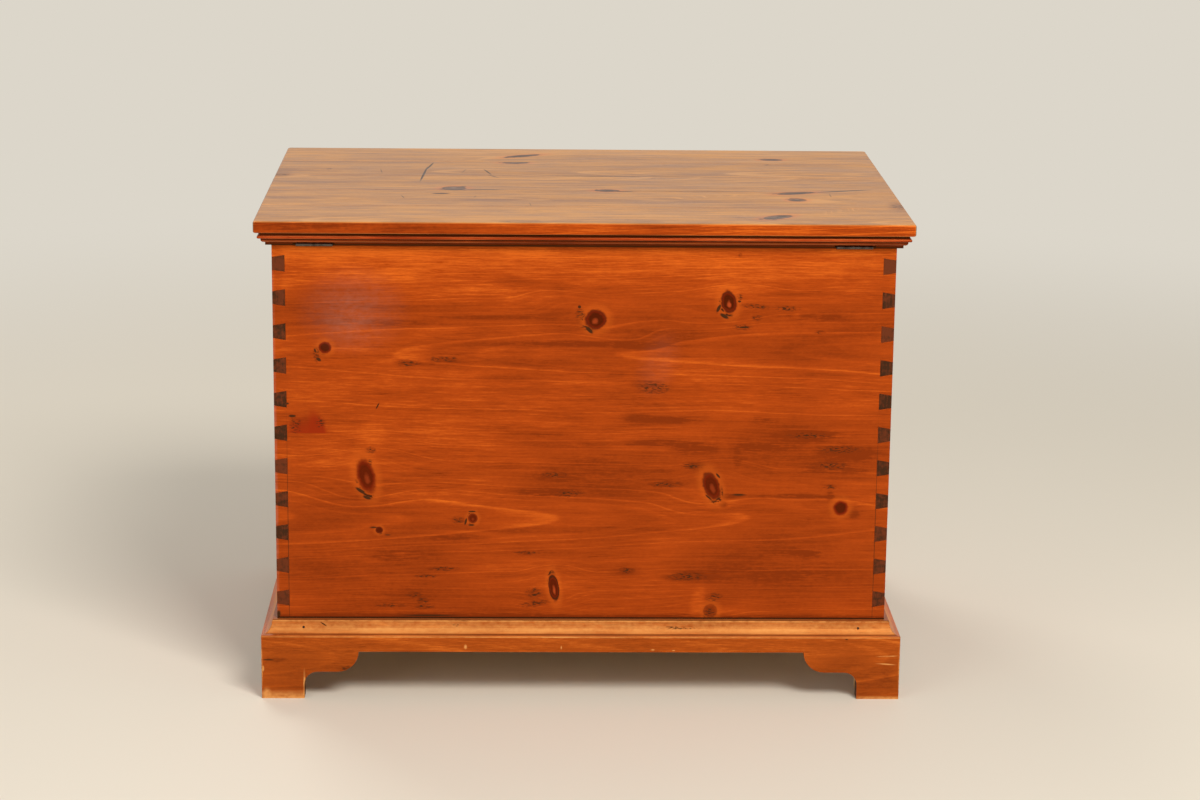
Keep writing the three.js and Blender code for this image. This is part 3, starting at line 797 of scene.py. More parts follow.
    def bare_wood(self, surface: Surface, ring: Value, disc: Value) -> tuple[Node, Value]:
        """Adds the faces without finish.

        Args:
            surface: the board's tree and coordinates.
            ring: mask of the late wood, with the strength of each ring.
            disc: mask of the knots' discs.

        Returns:
            Where the wood is bare, and its colour.
        """
        tree = surface.tree
        low, high = (Vector(corner) for corner in self.bare_box)
        off = add(tree, VECTOR, {0: surface.place, 1: tuple((low + high) / 2)}, operation="SUBTRACT")
        off = add(tree, VECTOR, {0: off}, operation="ABSOLUTE")
        room = add(tree, VECTOR, {0: tuple((high - low) / 2), 1: off}, operation="SUBTRACT")
        room = add(tree, SPLIT, {0: room}).outputs
        least = add(tree, MATH, {0: room[0], 1: room[1]}, operation="MINIMUM")
        least = add(tree, MATH, {0: least, 1: room[2]}, operation="MINIMUM")
        bare = add(tree, MATH, {0: least, 1: 0.0}, operation="GREATER_THAN")
        grain = surface.play(ring, *self.bare_play)
        return bare, paint(tree, self.bare.light, (grain, self.bare.dark), (disc, self.bare.knot))

    def material(self, board: Board) -> Material:
        """Builds the material of one board.

        Args:
            board: the board.

        Returns:
            The material.
        """
        material = new_material(f"shellacked_pine_{board.node}")
        tree = material.node_tree
        surface = Surface(tree, board)
        cloud = surface.cloud = self.clouds(surface)
        knots = self.knots(surface)
        late, strength = self.rings(surface, knots["Flow"])
        ring = add(tree, MATH, {0: late, 1: strength}, operation="MULTIPLY")
        shade = self.spots(surface, board.marks.shades)
        peppered = self.spots(surface, board.marks.specks)
        patch = add(tree, MATH, {0: peppered, 1: 0.2, 2: shade}, operation="MULTIPLY_ADD")
        tone = self.tone(surface, late, ring, patch)

        # Marks with an edge of their own.
        dots = add(tree, RANGE, {0: cloud["dots"], 1: 0.0, 2: 0.10, 4: 1.0}, **SMOOTH)
        specks = add(tree, MATH, {0: peppered, 1: dots}, operation="MULTIPLY")
        hairs = add(tree, MATH, {0: self.spots(surface, board.marks.hairs), 1: 1.8}, operation="MULTIPLY")
        hairs = add(tree, MATH, {0: hairs, 1: self.reached(surface)}, operation="MULTIPLY")
        facing = add(tree, VECTOR, {0: surface.normal}, operation="ABSOLUTE")
        wear_and_sheen = self.wear_and_sheen(surface, facing)
        end, drunk = self.end_grain(surface, facing, late, shade)
        veiled, veil = self.veil_coat(surface, facing, tone)
        above = add(tree, MATH, {0: surface.across, 1: board.seam}, operation="GREATER_THAN")
        reds = add(tree, MATH, {0: self.spots(surface, board.marks.reds), 1: above}, operation="MULTIPLY")

        shellac = self.shellac
        colour = paint(
            tree, shellac.dark,
            (add(tree, RANGE, {0: tone, 1: -0.35, 2: 0.5}), shellac.middle),
            (add(tree, RANGE, {0: tone, 1: 0.5, 2: 1.0}), shellac.light),
            (veiled, veil),
            (add(tree, MATH, {0: knots["Halo"], 1: 0.3}, operation="MULTIPLY"), shellac.light),
            (reds, shellac.red),
            (knots["Blush"], shellac.knot_rim),
            (knots["Disc"], shellac.knot),
            (knots["Heart"], shellac.knot_heart),
            (knots["Bark"], shellac.bark),
            (knots["Arcs"], shellac.bark),
            (wear_and_sheen, shellac.worn_and_sheen),
            (specks, shellac.speck),
            (hairs, shellac.speck),
            (end, shellac.end_light),
            (drunk, shellac.end_dark),
        )
        bare, straw = self.bare_wood(surface, ring, knots["Disc"])
        colour = add(tree, MIX, {0: bare, 6: colour, 7: straw}, data_type="RGBA").outputs[2]

        rough = surface.play(shellac.roughness, *self.gloss_play, (wear_and_sheen, 0.2), (end, 0.22))
        rough = add(tree, MIX, {0: bare, 2: rough, 3: self.bare.roughness}, data_type="FLOAT")
        height = surface.play(0.0, ("fibre", 0.5), (hairs, -0.7))
        bump = add(tree, "ShaderNodeBump", {"Strength": 0.6, "Distance": self.relief * MM, "Height": height})
        shader = add(tree, "ShaderNodeBsdfPrincipled", {
            "Base Color": colour, "Roughness": rough, "IOR": shellac.ior,
            "Specular Tint": linear(shellac.mirrored), "Normal": bump})
        add(tree, "ShaderNodeOutputMaterial", {"Surface": shader})
        return material


# Dressing the CAD nodes


def clean_group() -> NodeTree:
    """Makes the geometry group that joins a CAD mesh's split corners and smooths the shading of its curves.

    Returns:
        The group.
    """
    tree = bpy.data.node_groups.new("clean_shell", "GeometryNodeTree")
    for in_out in ("INPUT", "OUTPUT"):
        tree.interface.new_socket("Geometry", in_out=in_out, socket_type="NodeSocketGeometry")
    joined = add(tree, "GeometryNodeMergeByDistance", {0: add(tree, "NodeGroupInput"), 2: CORNER_GAP * MM})
    angle = add(tree, "GeometryNodeInputMeshEdgeAngle")
    sharp = add(tree, "FunctionNodeCompare", {0: angle, 1: SHARP}, operation="GREATER_THAN")
    normals = add(tree, "GeometryNodeSetMeshNormal", {0: joined, 1: True, 2: sharp, 3: False})
    add(tree, "NodeGroupOutput", {0: normals})
    return tree


@dataclass
class Dresser:
    """Gives a CAD node its finish and eases its edges.

    Args:
        clean: the geometry group that every node's mesh goes through.
    """

    clean: NodeTree = field(default_factory=clean_group)

    def dress(self, name: str, material: Material, bevel: float = 0.0) -> None:
        """Dresses one CAD node.

        Args:
            name: the CAD node.
            material: its material.
            bevel: width that its edges are eased by, in millimetres, or 0 where they stay as they are.
        """
        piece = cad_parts[name]
        for slot in piece.material_slots:
            slot.material = material
        piece.modifiers.new("clean", "NODES").node_group = self.clean
        if bevel:
            flat = piece.modifiers.new("flat", "DECIMATE")
            flat.decimate_type = "DISSOLVE"
            flat.angle_limit = FLAT
            ease = piece.modifiers.new("ease", "BEVEL")
            ease.width = bevel * MM
            ease.segments = 2
            ease.limit_method = "ANGLE"
            ease.angle_limit = SHARP
            ease.miter_outer = "MITER_ARC"
            shine = piece.modifiers.new("shine", "WEIGHTED_NORMAL")
            shine.keep_sharp = True
        log.info("%s: %s", name, material.name)

    def dress_boards(self, boards: tuple[Board, ...], pine: Pine) -> None:
        """Dresses boards, each with a material of its own.

        Args:
            boards: the boards.
            pine: their pine.
        """
        for board in boards:
            self.dress(board.node, pine.material(board), board.bevel)


@dataclass
class Case:
    """The four boards of the case, joined by through dovetails: pins on the ends, tails on the long sides.

    Args:
        inside: lower and upper corner of the space inside, which is left without finish, in millimetres.
    """

    inside: Box = ((-418.2, -280.0, -1.0), (418.2, 280.0, 670.0))

    # What several boards share: a top painted lighter, for the light that falls brightest there, with painted
    # shade in a line along the top edge under the lid, a lighter place at the highest pin, a dark line along
    # the joint with the base, and the lines where the tails end
    painted_top_light_and_shade = (Spot(0, 650, 1400, 90, 0, -0.2), Spot(0, 661, 1400, 7, 0, 0.3))
    pale_pin = Spot(288, 631, 20, 22, 0, -1.0)
    base_joint_line = Spot(0, 114.2, 500, 1.4, 0, 0.75)
    tail_lines = (Spot(418.1, 220, 0.7, 250, 0, 0.5), Spot(-418.1, 220, 0.7, 250, 0, 0.5))

    back_marks = Marks(
        knots=(
            Knot(363, 511, 8, 7.5, 0, 0.3, 1.0, 0.0, (0.5, -0.5)),
            Knot(-16, 553, 13, 12.5, 20, 0.5, 0.95, 0.6),
            Knot(-202, 579, 9.5, 14.5, -12, 0.6, 1.0, 0.9, (0.8, -0.7)),
            Knot(307, 325, 11.5, 23, -15, 0.2, 0.75, 0.4, (0.5, -0.8)),
            Knot(156, 263, 6, 6.5, 0, 0.4, 0.7, 0.3, (1.3, 0.0)),
            Knot(289, 245, 4.5, 4.5, 0, 0.6, 0.9, 0.0, (-0.6, -0.6)),
            Knot(40, 160, 6.5, 18, -8, 0.9, 0.8, 0.9, (0.3, 0.8)),
            Knot(-183, 312, 10, 19, -20, 0.5, 0.8, 0.4, (-0.3, -1.0)),
            Knot(-368, 280, 9.5, 9.5, 0, 0.1, 0.9, 0.0, (0.0, 0.0)),
            Knot(-185, 126, 9, 9, 0, 0.3, 0.35, 0.0, (0.3, -0.6)),
        ),
        specks=(
            Spot(375, 500, 6, 14), Spot(6, 560, 9, 12), Spot(-5, 541, 14, 6, 20), Spot(-217, 586, 6, 8),
            Spot(-240, 573, 26, 5, 4), Spot(-283, 570, 26, 6), Spot(-221, 543, 20, 5), Spot(-242, 557, 10, 6),
            Spot(-332, 536, 10, 4), Spot(-217, 646, 4, 4), Spot(248, 489, 22, 7), Spot(196, 495, 30, 6),
            Spot(300, 363, 10, 7), Spot(301, 345, 4, 6), Spot(177, 260, 12, 7), Spot(197, 188, 26, 5),
            Spot(222, 177, 22, 4), Spot(240, 149, 16, 6), Spot(228, 140, 14, 6), Spot(275, 133, 30, 4),
            Spot(225, 131, 18, 5), Spot(67, 136, 30, 6, -8), Spot(68, 152, 16, 12), Spot(78, 212, 24, 4),
            Spot(-150, 177, 38, 9), Spot(-190, 146, 16, 9), Spot(-184, 124, 12, 12), Spot(-155, 341, 20, 6),
            Spot(-118, 314, 30, 6), Spot(-352, 311, 14, 5), Spot(-352, 342, 36, 8), Spot(-364, 366, 40, 8),
            Spot(-318, 386, 40, 6), Spot(-100, 455, 30, 12), Spot(371, 403, 10, 12), Spot(405, 398, 12, 18),
            Spot(20, 300, 30, 8), Spot(40, 327, 26, 6), Spot(-63, 186, 16, 6),
        ),
        shades=(
            # The upper third is painted lighter, for the light that falls brightest there, and the line under
            # the lid is painted shade; the lower left and middle right are darker.
            Spot(0, 650, 1400, 95, 0, -0.32), Spot(60, 250, 900, 110, 0, 0.06),
            Spot(350, 650, 300, 60, 0, -0.1), Spot(-300, 360, 260, 90, 0, 0.22),
            Spot(-60, 560, 200, 90, 0, 0.20), Spot(-320, 540, 200, 80, 0, 0.20),
            Spot(-290, 190, 230, 90, 0, 0.20), Spot(-20, 330, 170, 60, 0, 0.26),
            Spot(300, 180, 220, 70, 0, 0.08), Spot(0, 620, 220, 50, 0, 0.10), Spot(0, 112, 1400, 12, 0, 0.6),
            Spot(0, 661, 1400, 7, 0, 0.3), Spot(-330, 620, 200, 50, 0, 0.10), Spot(430, 640, 14, 70, 0, 0.2),
            # These two darken the place of the painted sheen, as part of that painted reflection.
            Spot(350, 575, 110, 70, 0, 0.15), Spot(340, 570, 200, 80, 0, 0.12),
            Spot(330, 220, 200, 120, 0, 0.12), Spot(0, 130, 900, 40, 0, 0.04),
            Spot(200, 130, 240, 60, 0, 0.14), Spot(100, 607, 48, 9, 0, 0.22), Spot(135, 583, 45, 9, 0, 0.2),
            Spot(60, 604, 60, 8, 0, 0.12), Spot(-324, 558, 70, 9, 0, 0.22), Spot(-50, 475, 22, 6, 0, 0.2),
            Spot(-85, 475, 24, 6, 0, 0.2), Spot(-85, 459, 30, 10, 0, 0.25), Spot(-120, 409, 84, 9, 0, 0.42),
            Spot(-76, 411, 30, 9, 0, 0.25), Spot(-253, 409, 34, 8, 0, 0.28), Spot(-333, 475, 70, 7, 0, 0.2),
            Spot(260, 546, 170, 9, 0, 0.22), Spot(215, 568, 150, 7, 0, 0.18), Spot(210, 490, 75, 9, 0, 0.25),
            Spot(60, 518, 160, 8, 0, 0.3), Spot(130, 555, 150, 7, 0, 0.25), Spot(-90, 516, 90, 8, 0, 0.3),
            Spot(70, 492, 90, 9, 0, 0.25), Spot(110, 468, 60, 8, 0, 0.25), Spot(55, 386, 80, 9, 0, 0.25),
            Spot(20, 372, 120, 7, 0, 0.2), Spot(55, 301, 62, 10, 0, 0.45), Spot(40, 325, 60, 8, 0, 0.22),
            Spot(178, 234, 60, 9, 0, 0.28), Spot(60, 245, 130, 8, 0, 0.2), Spot(70, 212, 90, 10, 0, 0.2),
            Spot(250, 208, 80, 14, 0, 0.18), Spot(110, 179, 60, 8, 0, 0.2), Spot(-114, 375, 80, 10, 0, 0.35),
            Spot(-158, 366, 50, 14, 0, 0.3), Spot(-256, 369, 60, 9, 0, 0.3), Spot(-318, 386, 70, 12, 0, 0.35),
            Spot(-375, 360, 60, 16, 0, 0.35), Spot(-352, 335, 70, 9, 0, 0.25), Spot(-219, 353, 9, 22, 0, 0.2),
            Spot(-305, 298, 40, 7, 0, 0.25), Spot(-318, 212, 40, 12, 0, 0.25),
            Spot(-156, 179, 28, 9, 0, 0.35), Spot(-138, 174, 36, 7, 0, 0.22), Spot(-63, 184, 32, 10, 0, 0.2),
            Spot(-205, 297, 32, 6, 0, 0.55), Spot(-300, 297, 120, 4, 0, 0.25),
            Spot(-260, 180, 160, 20, 0, 0.12), Spot(391, 402, 26, 16, 0, 0.25),
            Spot(-387, 271, 12, 9, 0, 0.35), Spot(-200, 285, 9, 7, 0, 0.4), Spot(-160, 341, 20, 8, 0, 0.4),
            Spot(-125, 314, 34, 7, 0, 0.25), Spot(-352, 298, 9, 10, 0, 0.35),
            # Lighter wood where branches begin or a tip of the figure shows.
            Spot(330, 505, 46, 20, 0, -0.18), Spot(300, 385, 30, 26, 0, -0.2),
            Spot(-166, 140, 14, 34, 12, -0.28), Spot(-20, 530, 60, 12, 0, -0.12),
            Spot(-190, 290, 60, 16, 0, -0.16), Spot(200, 300, 140, 26, 0, -0.14),
        ),
        hairs=(
            Spot(377, 507, 2, 4, -20, 0.7), Spot(372, 494, 5, 3, 35), Spot(-7, 538, 9, 3.6, 45),
            Spot(7, 571, 3, 3), Spot(-188, 570, 3, 8, 25), Spot(-196, 559, 9, 3.6, 30), Spot(-217, 580, 3, 2),
            Spot(-224, 543, 10, 1.8), Spot(315, 303, 11, 3.2, 35), Spot(306, 293, 8, 3, 20),
            Spot(166, 258, 2, 7, 14), Spot(157, 273, 7, 1.6), Spot(158, 253, 6, 1.8),
            Spot(297, 249, 8, 1.8, 0, 0.6), Spot(277, 238, 6, 2, 0, 0.4), Spot(-179, 295, 8, 1.6, 40),
            Spot(-193, 293, 5, 1.5, -30), Spot(-192, 327, 2, 6, -40), Spot(-222, 299, 14, 2.4, 0, 0.6),
            Spot(290, 427, 1.4, 6.5, 28), *tail_lines, Spot(434, 119, 4, 8, 10),
            # The line at 657.6 is a painted shadow under the lid's frame; the one at 114.6 runs along the
            # joint with the base.
            Spot(0, 114.6, 1400, 1.8, 0, 0.9), Spot(0, 657.6, 1400, 2.2, 0, 0.6),
            Spot(220, 118, 60, 2, 0, 0.6), Spot(418, 430, 5, 2), Spot(410, 412, 7, 2.4),
        ),
        # The first three wear spots are a painted reflection, the hazy sheen of a lamp; the last is the
        # rubbed corner.
        wear_and_sheen=(Spot(323, 565, 90, 74, 0, 0.075), Spot(330, 550, 40, 54, 0, 0.03),
              Spot(-105, 490, 36, 60, 20, 0.03), Spot(434, 300, 3, 420, 0, 0.12)),
        reds=(Spot(392, 376, 46, 46, 0, 1.0), Spot(374, 392, 14, 40, -15, 1.0)),
    )
    front_marks = Marks(
        knots=(Knot(-300, 560, 10, 13, 10, 0.6), Knot(120, 590, 8, 8, 0, 0.5),
               Knot(255, 430, 11, 16, -14, 0.7), Knot(-60, 330, 9, 9, 0, 0.8),
               Knot(-340, 250, 12, 19, 12, 0.5), Knot(330, 205, 7, 7, 0, 0.9), Knot(60, 185, 6, 12, 0, 0.8)),
        specks=(Spot(-285, 548, 20, 6), Spot(150, 586, 30, 5), Spot(270, 410, 24, 7), Spot(-82, 322, 18, 6),
                Spot(-310, 240, 30, 7), Spot(350, 198, 16, 5), Spot(96, 170, 30, 7), Spot(-200, 160, 40, 7),
                Spot(0, 470, 36, 6)),
        shades=(*painted_top_light_and_shade, Spot(-100, 400, 180, 14, 0, 0.3), Spot(220, 340, 160, 12, 0, 0.3),
                Spot(-240, 480, 140, 10, 0, 0.25), Spot(60, 250, 200, 14, 0, 0.25),
                Spot(0, 130, 900, 40, 0, 0.12)),
        hairs=(*tail_lines, base_joint_line),
    )
    right_marks = Marks(
        knots=(Knot(-120, 520, 9, 12, 8, 0.6), Knot(140, 340, 11, 11, 0, 0.7),
               Knot(-60, 210, 7, 15, -6, 0.8)),
        specks=(Spot(-96, 510, 24, 6), Spot(160, 325, 26, 6), Spot(-90, 190, 24, 8), Spot(40, 450, 40, 6)),
        shades=(*painted_top_light_and_shade, Spot(60, 420, 160, 12, 0, 0.3), Spot(-80, 300, 120, 12, 0, 0.3), pale_pin),
        hairs=(base_joint_line,),
    )
    left_marks = Marks(
        knots=(Knot(90, 560, 8, 10, -6, 0.6), Knot(-150, 400, 12, 17, 12, 0.5), Knot(170, 240, 8, 8, 0, 0.8)),
        specks=(Spot(120, 550, 24, 6), Spot(-170, 380, 30, 7), Spot(190, 226, 22, 5), Spot(-30, 300, 40, 6)),
        shades=(*painted_top_light_and_shade, Spot(0, 470, 140, 12, 0, 0.3), Spot(60, 200, 150, 12, 0, 0.3), pale_pin),
        hairs=(base_joint_line,),
    )

    def boards(self) -> tuple[Board, ...]:
        """Lists the boards of the case.

        Returns:
            The four boards.
        """
        return (
            Board("back_board", Lay.LONG_SIDE, (Heart(264, 233, 0.028), Heart(505, 232.8, -0.0242)), seam=387,
                  seed=1.0, marks=self.back_marks, tone=-0.05),
            Board("front_board", Lay.LONG_SIDE, (Heart(300, -350, 0.02), Heart(520, -240, -0.03)), seam=410,
                  seed=2.0, marks=self.front_marks),
            Board("right_end_board", Lay.END, (Heart(240, -370, 0.03), Heart(540, -380, -0.03)), seam=395,
                  seed=3.0, marks=self.right_marks),
            Board("left_end_board", Lay.END, (Heart(300, 370, -0.03), Heart(500, 500, 0.03)), seam=420,
                  seed=4.0, marks=self.left_marks),
        )

    def dress(self, dresser: Dresser) -> None:
        """Dresses the boards.

        Args:
            dresser: gives the nodes their finish.
        """
        # The pinkish wear colour paints a lamp's hazy reflection on the back, and also colours the rubbed
        # corner strip.
        pine = Pine(Shellac(worn_and_sheen="dd9a86"), BarePine(), self.inside)
        dresser.dress_boards(self.boards(), pine)


@dataclass
class Base:
    """The four moulded rails with their bracket feet, and the nails through their coves.

    Args:
        inside: lower and upper corner of the space behind the rails, in millimetres.
    """

    inside: Box = ((-435.8, -297.6, -1.0), (435.8, 297.6, 111.0))

    # What all the rails share: painted light on the lower cove, which faces up to the lamps, and painted
    # shade on the step at the cove's top
    cove_light_and_shade = (Spot(0, 96, 1400, 6, 0, -0.2), Spot(0, 113, 1400, 3, 0, 0.5))
    edge_wear = Spot(0, 92.4, 1400, 1.2, 0, 0.6)

    back_marks = Marks(
        specks=(Spot(180, 106, 6, 3), Spot(40, 60, 60, 4), Spot(-140, 103, 40, 3), Spot(330, 45, 24, 6)),
        shades=(Spot(440, 58, 26, 5, 0, 0.5), Spot(400, 34, 110, 52, 0, 0.18),
                Spot(-400, 34, 110, 52, 0, 0.25), Spot(-440, 30, 20, 26, 0, 0.15), *cove_light_and_shade),
        # The last hair, along the step at the cove's top, is a painted shade line.
        hairs=(Spot(448, 58, 10, 1.2), Spot(369, 107, 1.2, 7, -58), Spot(0, 95, 1400, 1.1, 0, 0.35),
               Spot(-380, 90, 3, 1), Spot(0, 113, 900, 0.8, 0, 0.4)),
        wear_and_sheen=(
            # The first spot, a pale band along the cove, is painted light and sheen on its upward face.
            Spot(0, 105, 1400, 14, 0, 0.4), edge_wear, Spot(427, 0, 140, 15, 0, 0.6),
            Spot(427, 0, 140, 4, 0, 0.4), Spot(-427, 0, 140, 6, 0, 0.6), Spot(0, 111.8, 1400, 1.4, 0, 0.6),
            Spot(450, 8, 8, 12, 0, 0.5), Spot(166, 78, 3, 5, 0, 0.9), Spot(29, 77, 1.6, 4, 0, 0.6),
            Spot(-102, 74, 4, 1.6), Spot(-132, 73, 3, 1.2), Spot(-440, 65, 20, 1.2, -2),
            Spot(-438, 53, 18, 1.4, 4), Spot(457, 50, 1.6, 50, 0, 0.7), Spot(-457, 50, 1.6, 50, 0, 0.6),
            Spot(36, 92.6, 40, 1.2), Spot(396.5, 20, 2.2, 30, 0, 0.8), Spot(-458, 50, 2, 6, 0, 0.9),
            Spot(455, 45, 2, 6, 0, 0.9),
        ),
    )
    other_marks = Marks(
        specks=(Spot(-180, 104, 8, 3), Spot(90, 84, 50, 4)),
        shades=cove_light_and_shade,
        # Its last hair, along the step at the cove's top, is a painted shade line.
        hairs=(Spot(120, 100, 1, 6, 40), Spot(0, 113, 900, 0.8, 0, 0.4)),
        # Its first wear spot, a pale band along the cove, is painted light and sheen on its upward face.
        wear_and_sheen=(Spot(0, 105, 1400, 14, 0, 0.3), edge_wear, Spot(425, 2, 40, 6, 0, 0.6),
              Spot(-425, 2, 40, 4, 0, 0.6), Spot(-290, 3, 40, 6, 0, 0.5), Spot(290, 3, 40, 6, 0, 0.5)),
    )

    def boards(self) -> tuple[Board, ...]:
        """Lists the rails.

        Returns:
            The four rails.
        """
        rows = (
            ("back", Lay.LONG_SIDE, Heart(60, 180, 0.03), self.back_marks),
            ("front", Lay.LONG_SIDE, Heart(20, -420, 0.02), self.other_marks),
            ("left", Lay.END, Heart(90, 560, 0.03), self.other_marks),
            ("right", Lay.END, Heart(30, -570, 0.03), self.other_marks),
        )
        return tuple(Board(f"base_rail_{side}", lay, (heart,), seed=11.0 + number, marks=marks)
                     for number, (side, lay, heart, marks) in enumerate(rows))

    def dress(self, dresser: Dresser) -> None:
        """Dresses the rails and their nails.

        Args:
            dresser: gives the nodes their finish.
        """
        shellac = Shellac(light="cf6a24", middle="a34813", dark="5a1e07", worn_and_sheen="d49250", roughness=0.3)
        pine = Pine(shellac, BarePine(), self.inside, breadth=0.7, rub=0.5)
        dresser.dress_boards(self.boards(), pine)
        iron = CUT_IRON.material()
        for side in ("back", "front", "left", "right"):
            for number in (1, 2):
                dresser.dress(f"base_nail_{side}_{number}", iron)


@dataclass
class Bottom:
    """The planks of the bottom, the cleats that carry them, and the glue blocks behind the feet.

    Args:
        bare_box: lower and upper corner of a space that holds them all, because none of them has a finish.
        bevel: width that their rough edges are eased by, in millimetres.
        step: distance across between the piths of two planks, in millimetres.
        rise: how much higher each pith lies than the one before it, in millimetres.
    """

    bare_box: Box = ((-FAR, -FAR, -FAR), (FAR, FAR, FAR))
    bevel: float = 0.8
    step: float = 140.0
    rise: float = 30.0

    cleat_heart = Heart(40, 320, 0.01)
    block_heart = Heart(380, 300, 0.01)
    knots = (
        (Knot(-210, -220, 9, 8), Knot(240, -170, 6, 5)), (Knot(150, -60, 8, 8),), (Knot(-90, 95, 10, 9),),
        (Knot(290, 190, 9, 7), Knot(-250, 235, 7, 6)),
    )

    def boards(self) -> tuple[Board, ...]:
        """Lists the pieces of the bottom.

        Returns:
            The planks, the cleats and the glue blocks.
        """
        planks = tuple(
            Board(f"bottom_plank_{number}", Lay.FLAT,
                  (Heart(self.step * (number - 2), self.rise * (number - 2), 0.03),),
                  seed=20.0 + number, marks=Marks(knots=knots), bevel=self.bevel)
            for number, knots in enumerate(self.knots, 1))
        sides = (("back", Lay.LONG_SIDE), ("front", Lay.LONG_SIDE), ("left", Lay.END), ("right", Lay.END))
        cleats = tuple(
            Board(f"bottom_cleat_{side}", lay, (self.cleat_heart,), seed=30.0 + number, bevel=self.bevel)
            for number, (side, lay) in enumerate(sides))
        blocks = tuple(
            Board(f"corner_block_{corner}", Lay.UPRIGHT, (self.block_heart,), seed=40.0 + number,
                  bevel=self.bevel)
            for number, corner in enumerate(("back_right", "back_left", "front_left", "front_right")))
        return planks + cleats + blocks

    def dress(self, dresser: Dresser) -> None:
        """Dresses the pieces of the bottom.

        Args:
            dresser: gives the nodes their finish.
        """
        dresser.dress_boards(self.boards(), Pine(Shellac(), BarePine(), self.bare_box))


@dataclass
class Lid:
    """The five edge-glued boards of the lid, and the moulded frame under them.

    Args:
        inside: lower and upper corner of the space under the lid, which has no finish, in millimetres.
        width: width of one lid board, in millimetres.
        level: level from which the depth of a pith counts, in millimetres.
        ring: distance between two growth rings, in millimetres.
        lighter: how much lighter every other board is.
        bevel: width that the edges are eased by, in millimetres.
    """

    inside: Box = ((-420.0, -282.0, 0.0), (420.0, 282.0, 680.0))
    width: float = 128.32
    level: float = 690.0
    ring: float = 5.0
    lighter: float = 0.04
    bevel: float = 0.25

    marks = Marks(
        knots=(
            Knot(87, -251, 28, 8, 28, 0.9, 0.9, 0.3, (0.5, 0.8)), Knot(99, -184, 18, 8, 0, 0.8, 0.8, 0.7),
            Knot(188, 46, 16, 13, 10, 0.9, 0.8, 0.9, (0.5, 0.8)), Knot(-302, -228, 15, 8, 0, 0.9, 0.9, 0.4),
            Knot(-37, 59, 16, 9, 0, 0.9, 0.9, 0.5), Knot(-313, 71, 26, 9, 18, 0.9, 0.9, 0.5),
            Knot(-310, 127, 12, 12, 0, 0.4, 0.7, 1.0), Knot(-270, 266, 22, 11, 36, 0.8, 0.8, 1.0, (0.9, 0.5)),
        ),
        specks=(
            Spot(451, -65, 20, 12), Spot(-291, -180, 9, 7), Spot(381, -117, 6, 10), Spot(206, 90, 16, 8),
            Spot(-452, 177, 18, 24), Spot(111, 312, 12, 4),
        ),
        shades=(
            Spot(451, -65, 26, 40, 0, 0.25), Spot(-452, 177, 22, 60, 0, 0.25),
            Spot(0, -260, 520, 14, 0, 0.12), Spot(100, 0, 520, 16, 0, 0.10), Spot(0, 140, 520, 20, 0, 0.12),
            Spot(-200, -120, 420, 18, 0, 0.12), Spot(0, 266, 700, 60, 0, -0.10),
            # The last two darken the back edge towards its +X end: painted shade on the side away from the
            # key lamp.
            Spot(0, -300, 900, 90, 0, -0.22), Spot(330, 322.5, 300, 5, 0, 0.45),
            Spot(430, 322.5, 60, 5, 0, 0.2),
        ),
        hairs=(
            Spot(229, -148, 2.2, 44, -8), Spot(236, -76, 2.2, 84, -3), Spot(140, -98, 1.9, 32, 14),
            Spot(131, -60, 1.9, 18, 35), Spot(301, -101, 1.4, 26, 6, 0.4),
            Spot(176, -106, 1.4, 26, -10, 0.35), Spot(206, 92, 17, 5), Spot(163, 59, 62, 4.2, 4),
            Spot(176, 33, 9, 4, 30), Spot(-170, 60, 140, 2.6, 0, 0.7), Spot(-382, 52, 60, 4.4, 17),
            Spot(-20, -67, 70, 3.4, 0, 0.7), Spot(-70, -67, 160, 2.2, 0, 0.45), Spot(87, -251, 25, 4, 28),
            Spot(96, -245, 10, 5, 12), Spot(99, -180, 11, 5), Spot(86, -190, 15, 3.4), Spot(-38, 60, 12, 6),
            Spot(-62, 66, 20, 3.4), Spot(-302, -230, 12, 5), Spot(-313, 74, 24, 5, 18),
            Spot(-276, 262, 14, 5, 36), Spot(-262, 274, 12, 4, 20), Spot(-308, 131, 10, 5),
            Spot(-373, 125, 30, 1.6, 10, 0.4), Spot(-362, 89, 1.4, 20, 0, 0.35),
            Spot(260, 120, 1.4, 16, 12, 0.5), Spot(156, 116, 1.2, 12, -10, 0.4),
            Spot(76, 176, 1.2, 20, 4, 0.3), Spot(65, 229, 10, 2, -16, 0.35),
            Spot(-300, -232, 34, 1.6, 0, 0.4), Spot(60, 64.2, 150, 1.2, 0, 0.4),
            Spot(0, -64.2, 400, 1.0, 0, 0.3),
        ),
    )

    def boards(self) -> tuple[Board, ...]:
        """Lists the lid boards.

        Returns:
            The five boards, from the front one.
        """
        # Each board's pith: how far it lies from the board's middle and below its face, and its drift
        piths = ((-20, 120, 0.03), (30, 80, -0.04), (-60, 140, 0.05), (10, 60, 0.03), (50, 100, -0.05))
        rows = []
        for number, (shift, drop, drift) in enumerate(piths, 1):
            middle = self.width * (number - 3)
            half = self.width / 2
            marks = self.marks.between(middle - half, middle + half)
            heart = Heart(middle + shift, self.level - drop, drift)
            rows.append(Board(f"lid_board_{number}", Lay.FLAT, (heart,), ring=self.ring, seed=50.0 + number,
                              marks=marks, tone=self.lighter * (number % 2), bevel=self.bevel))
        return tuple(rows)

    def strips(self) -> tuple[Board, ...]:
        """Lists the moulded strips under the lid boards.

        Returns:
            The four strips.
        """
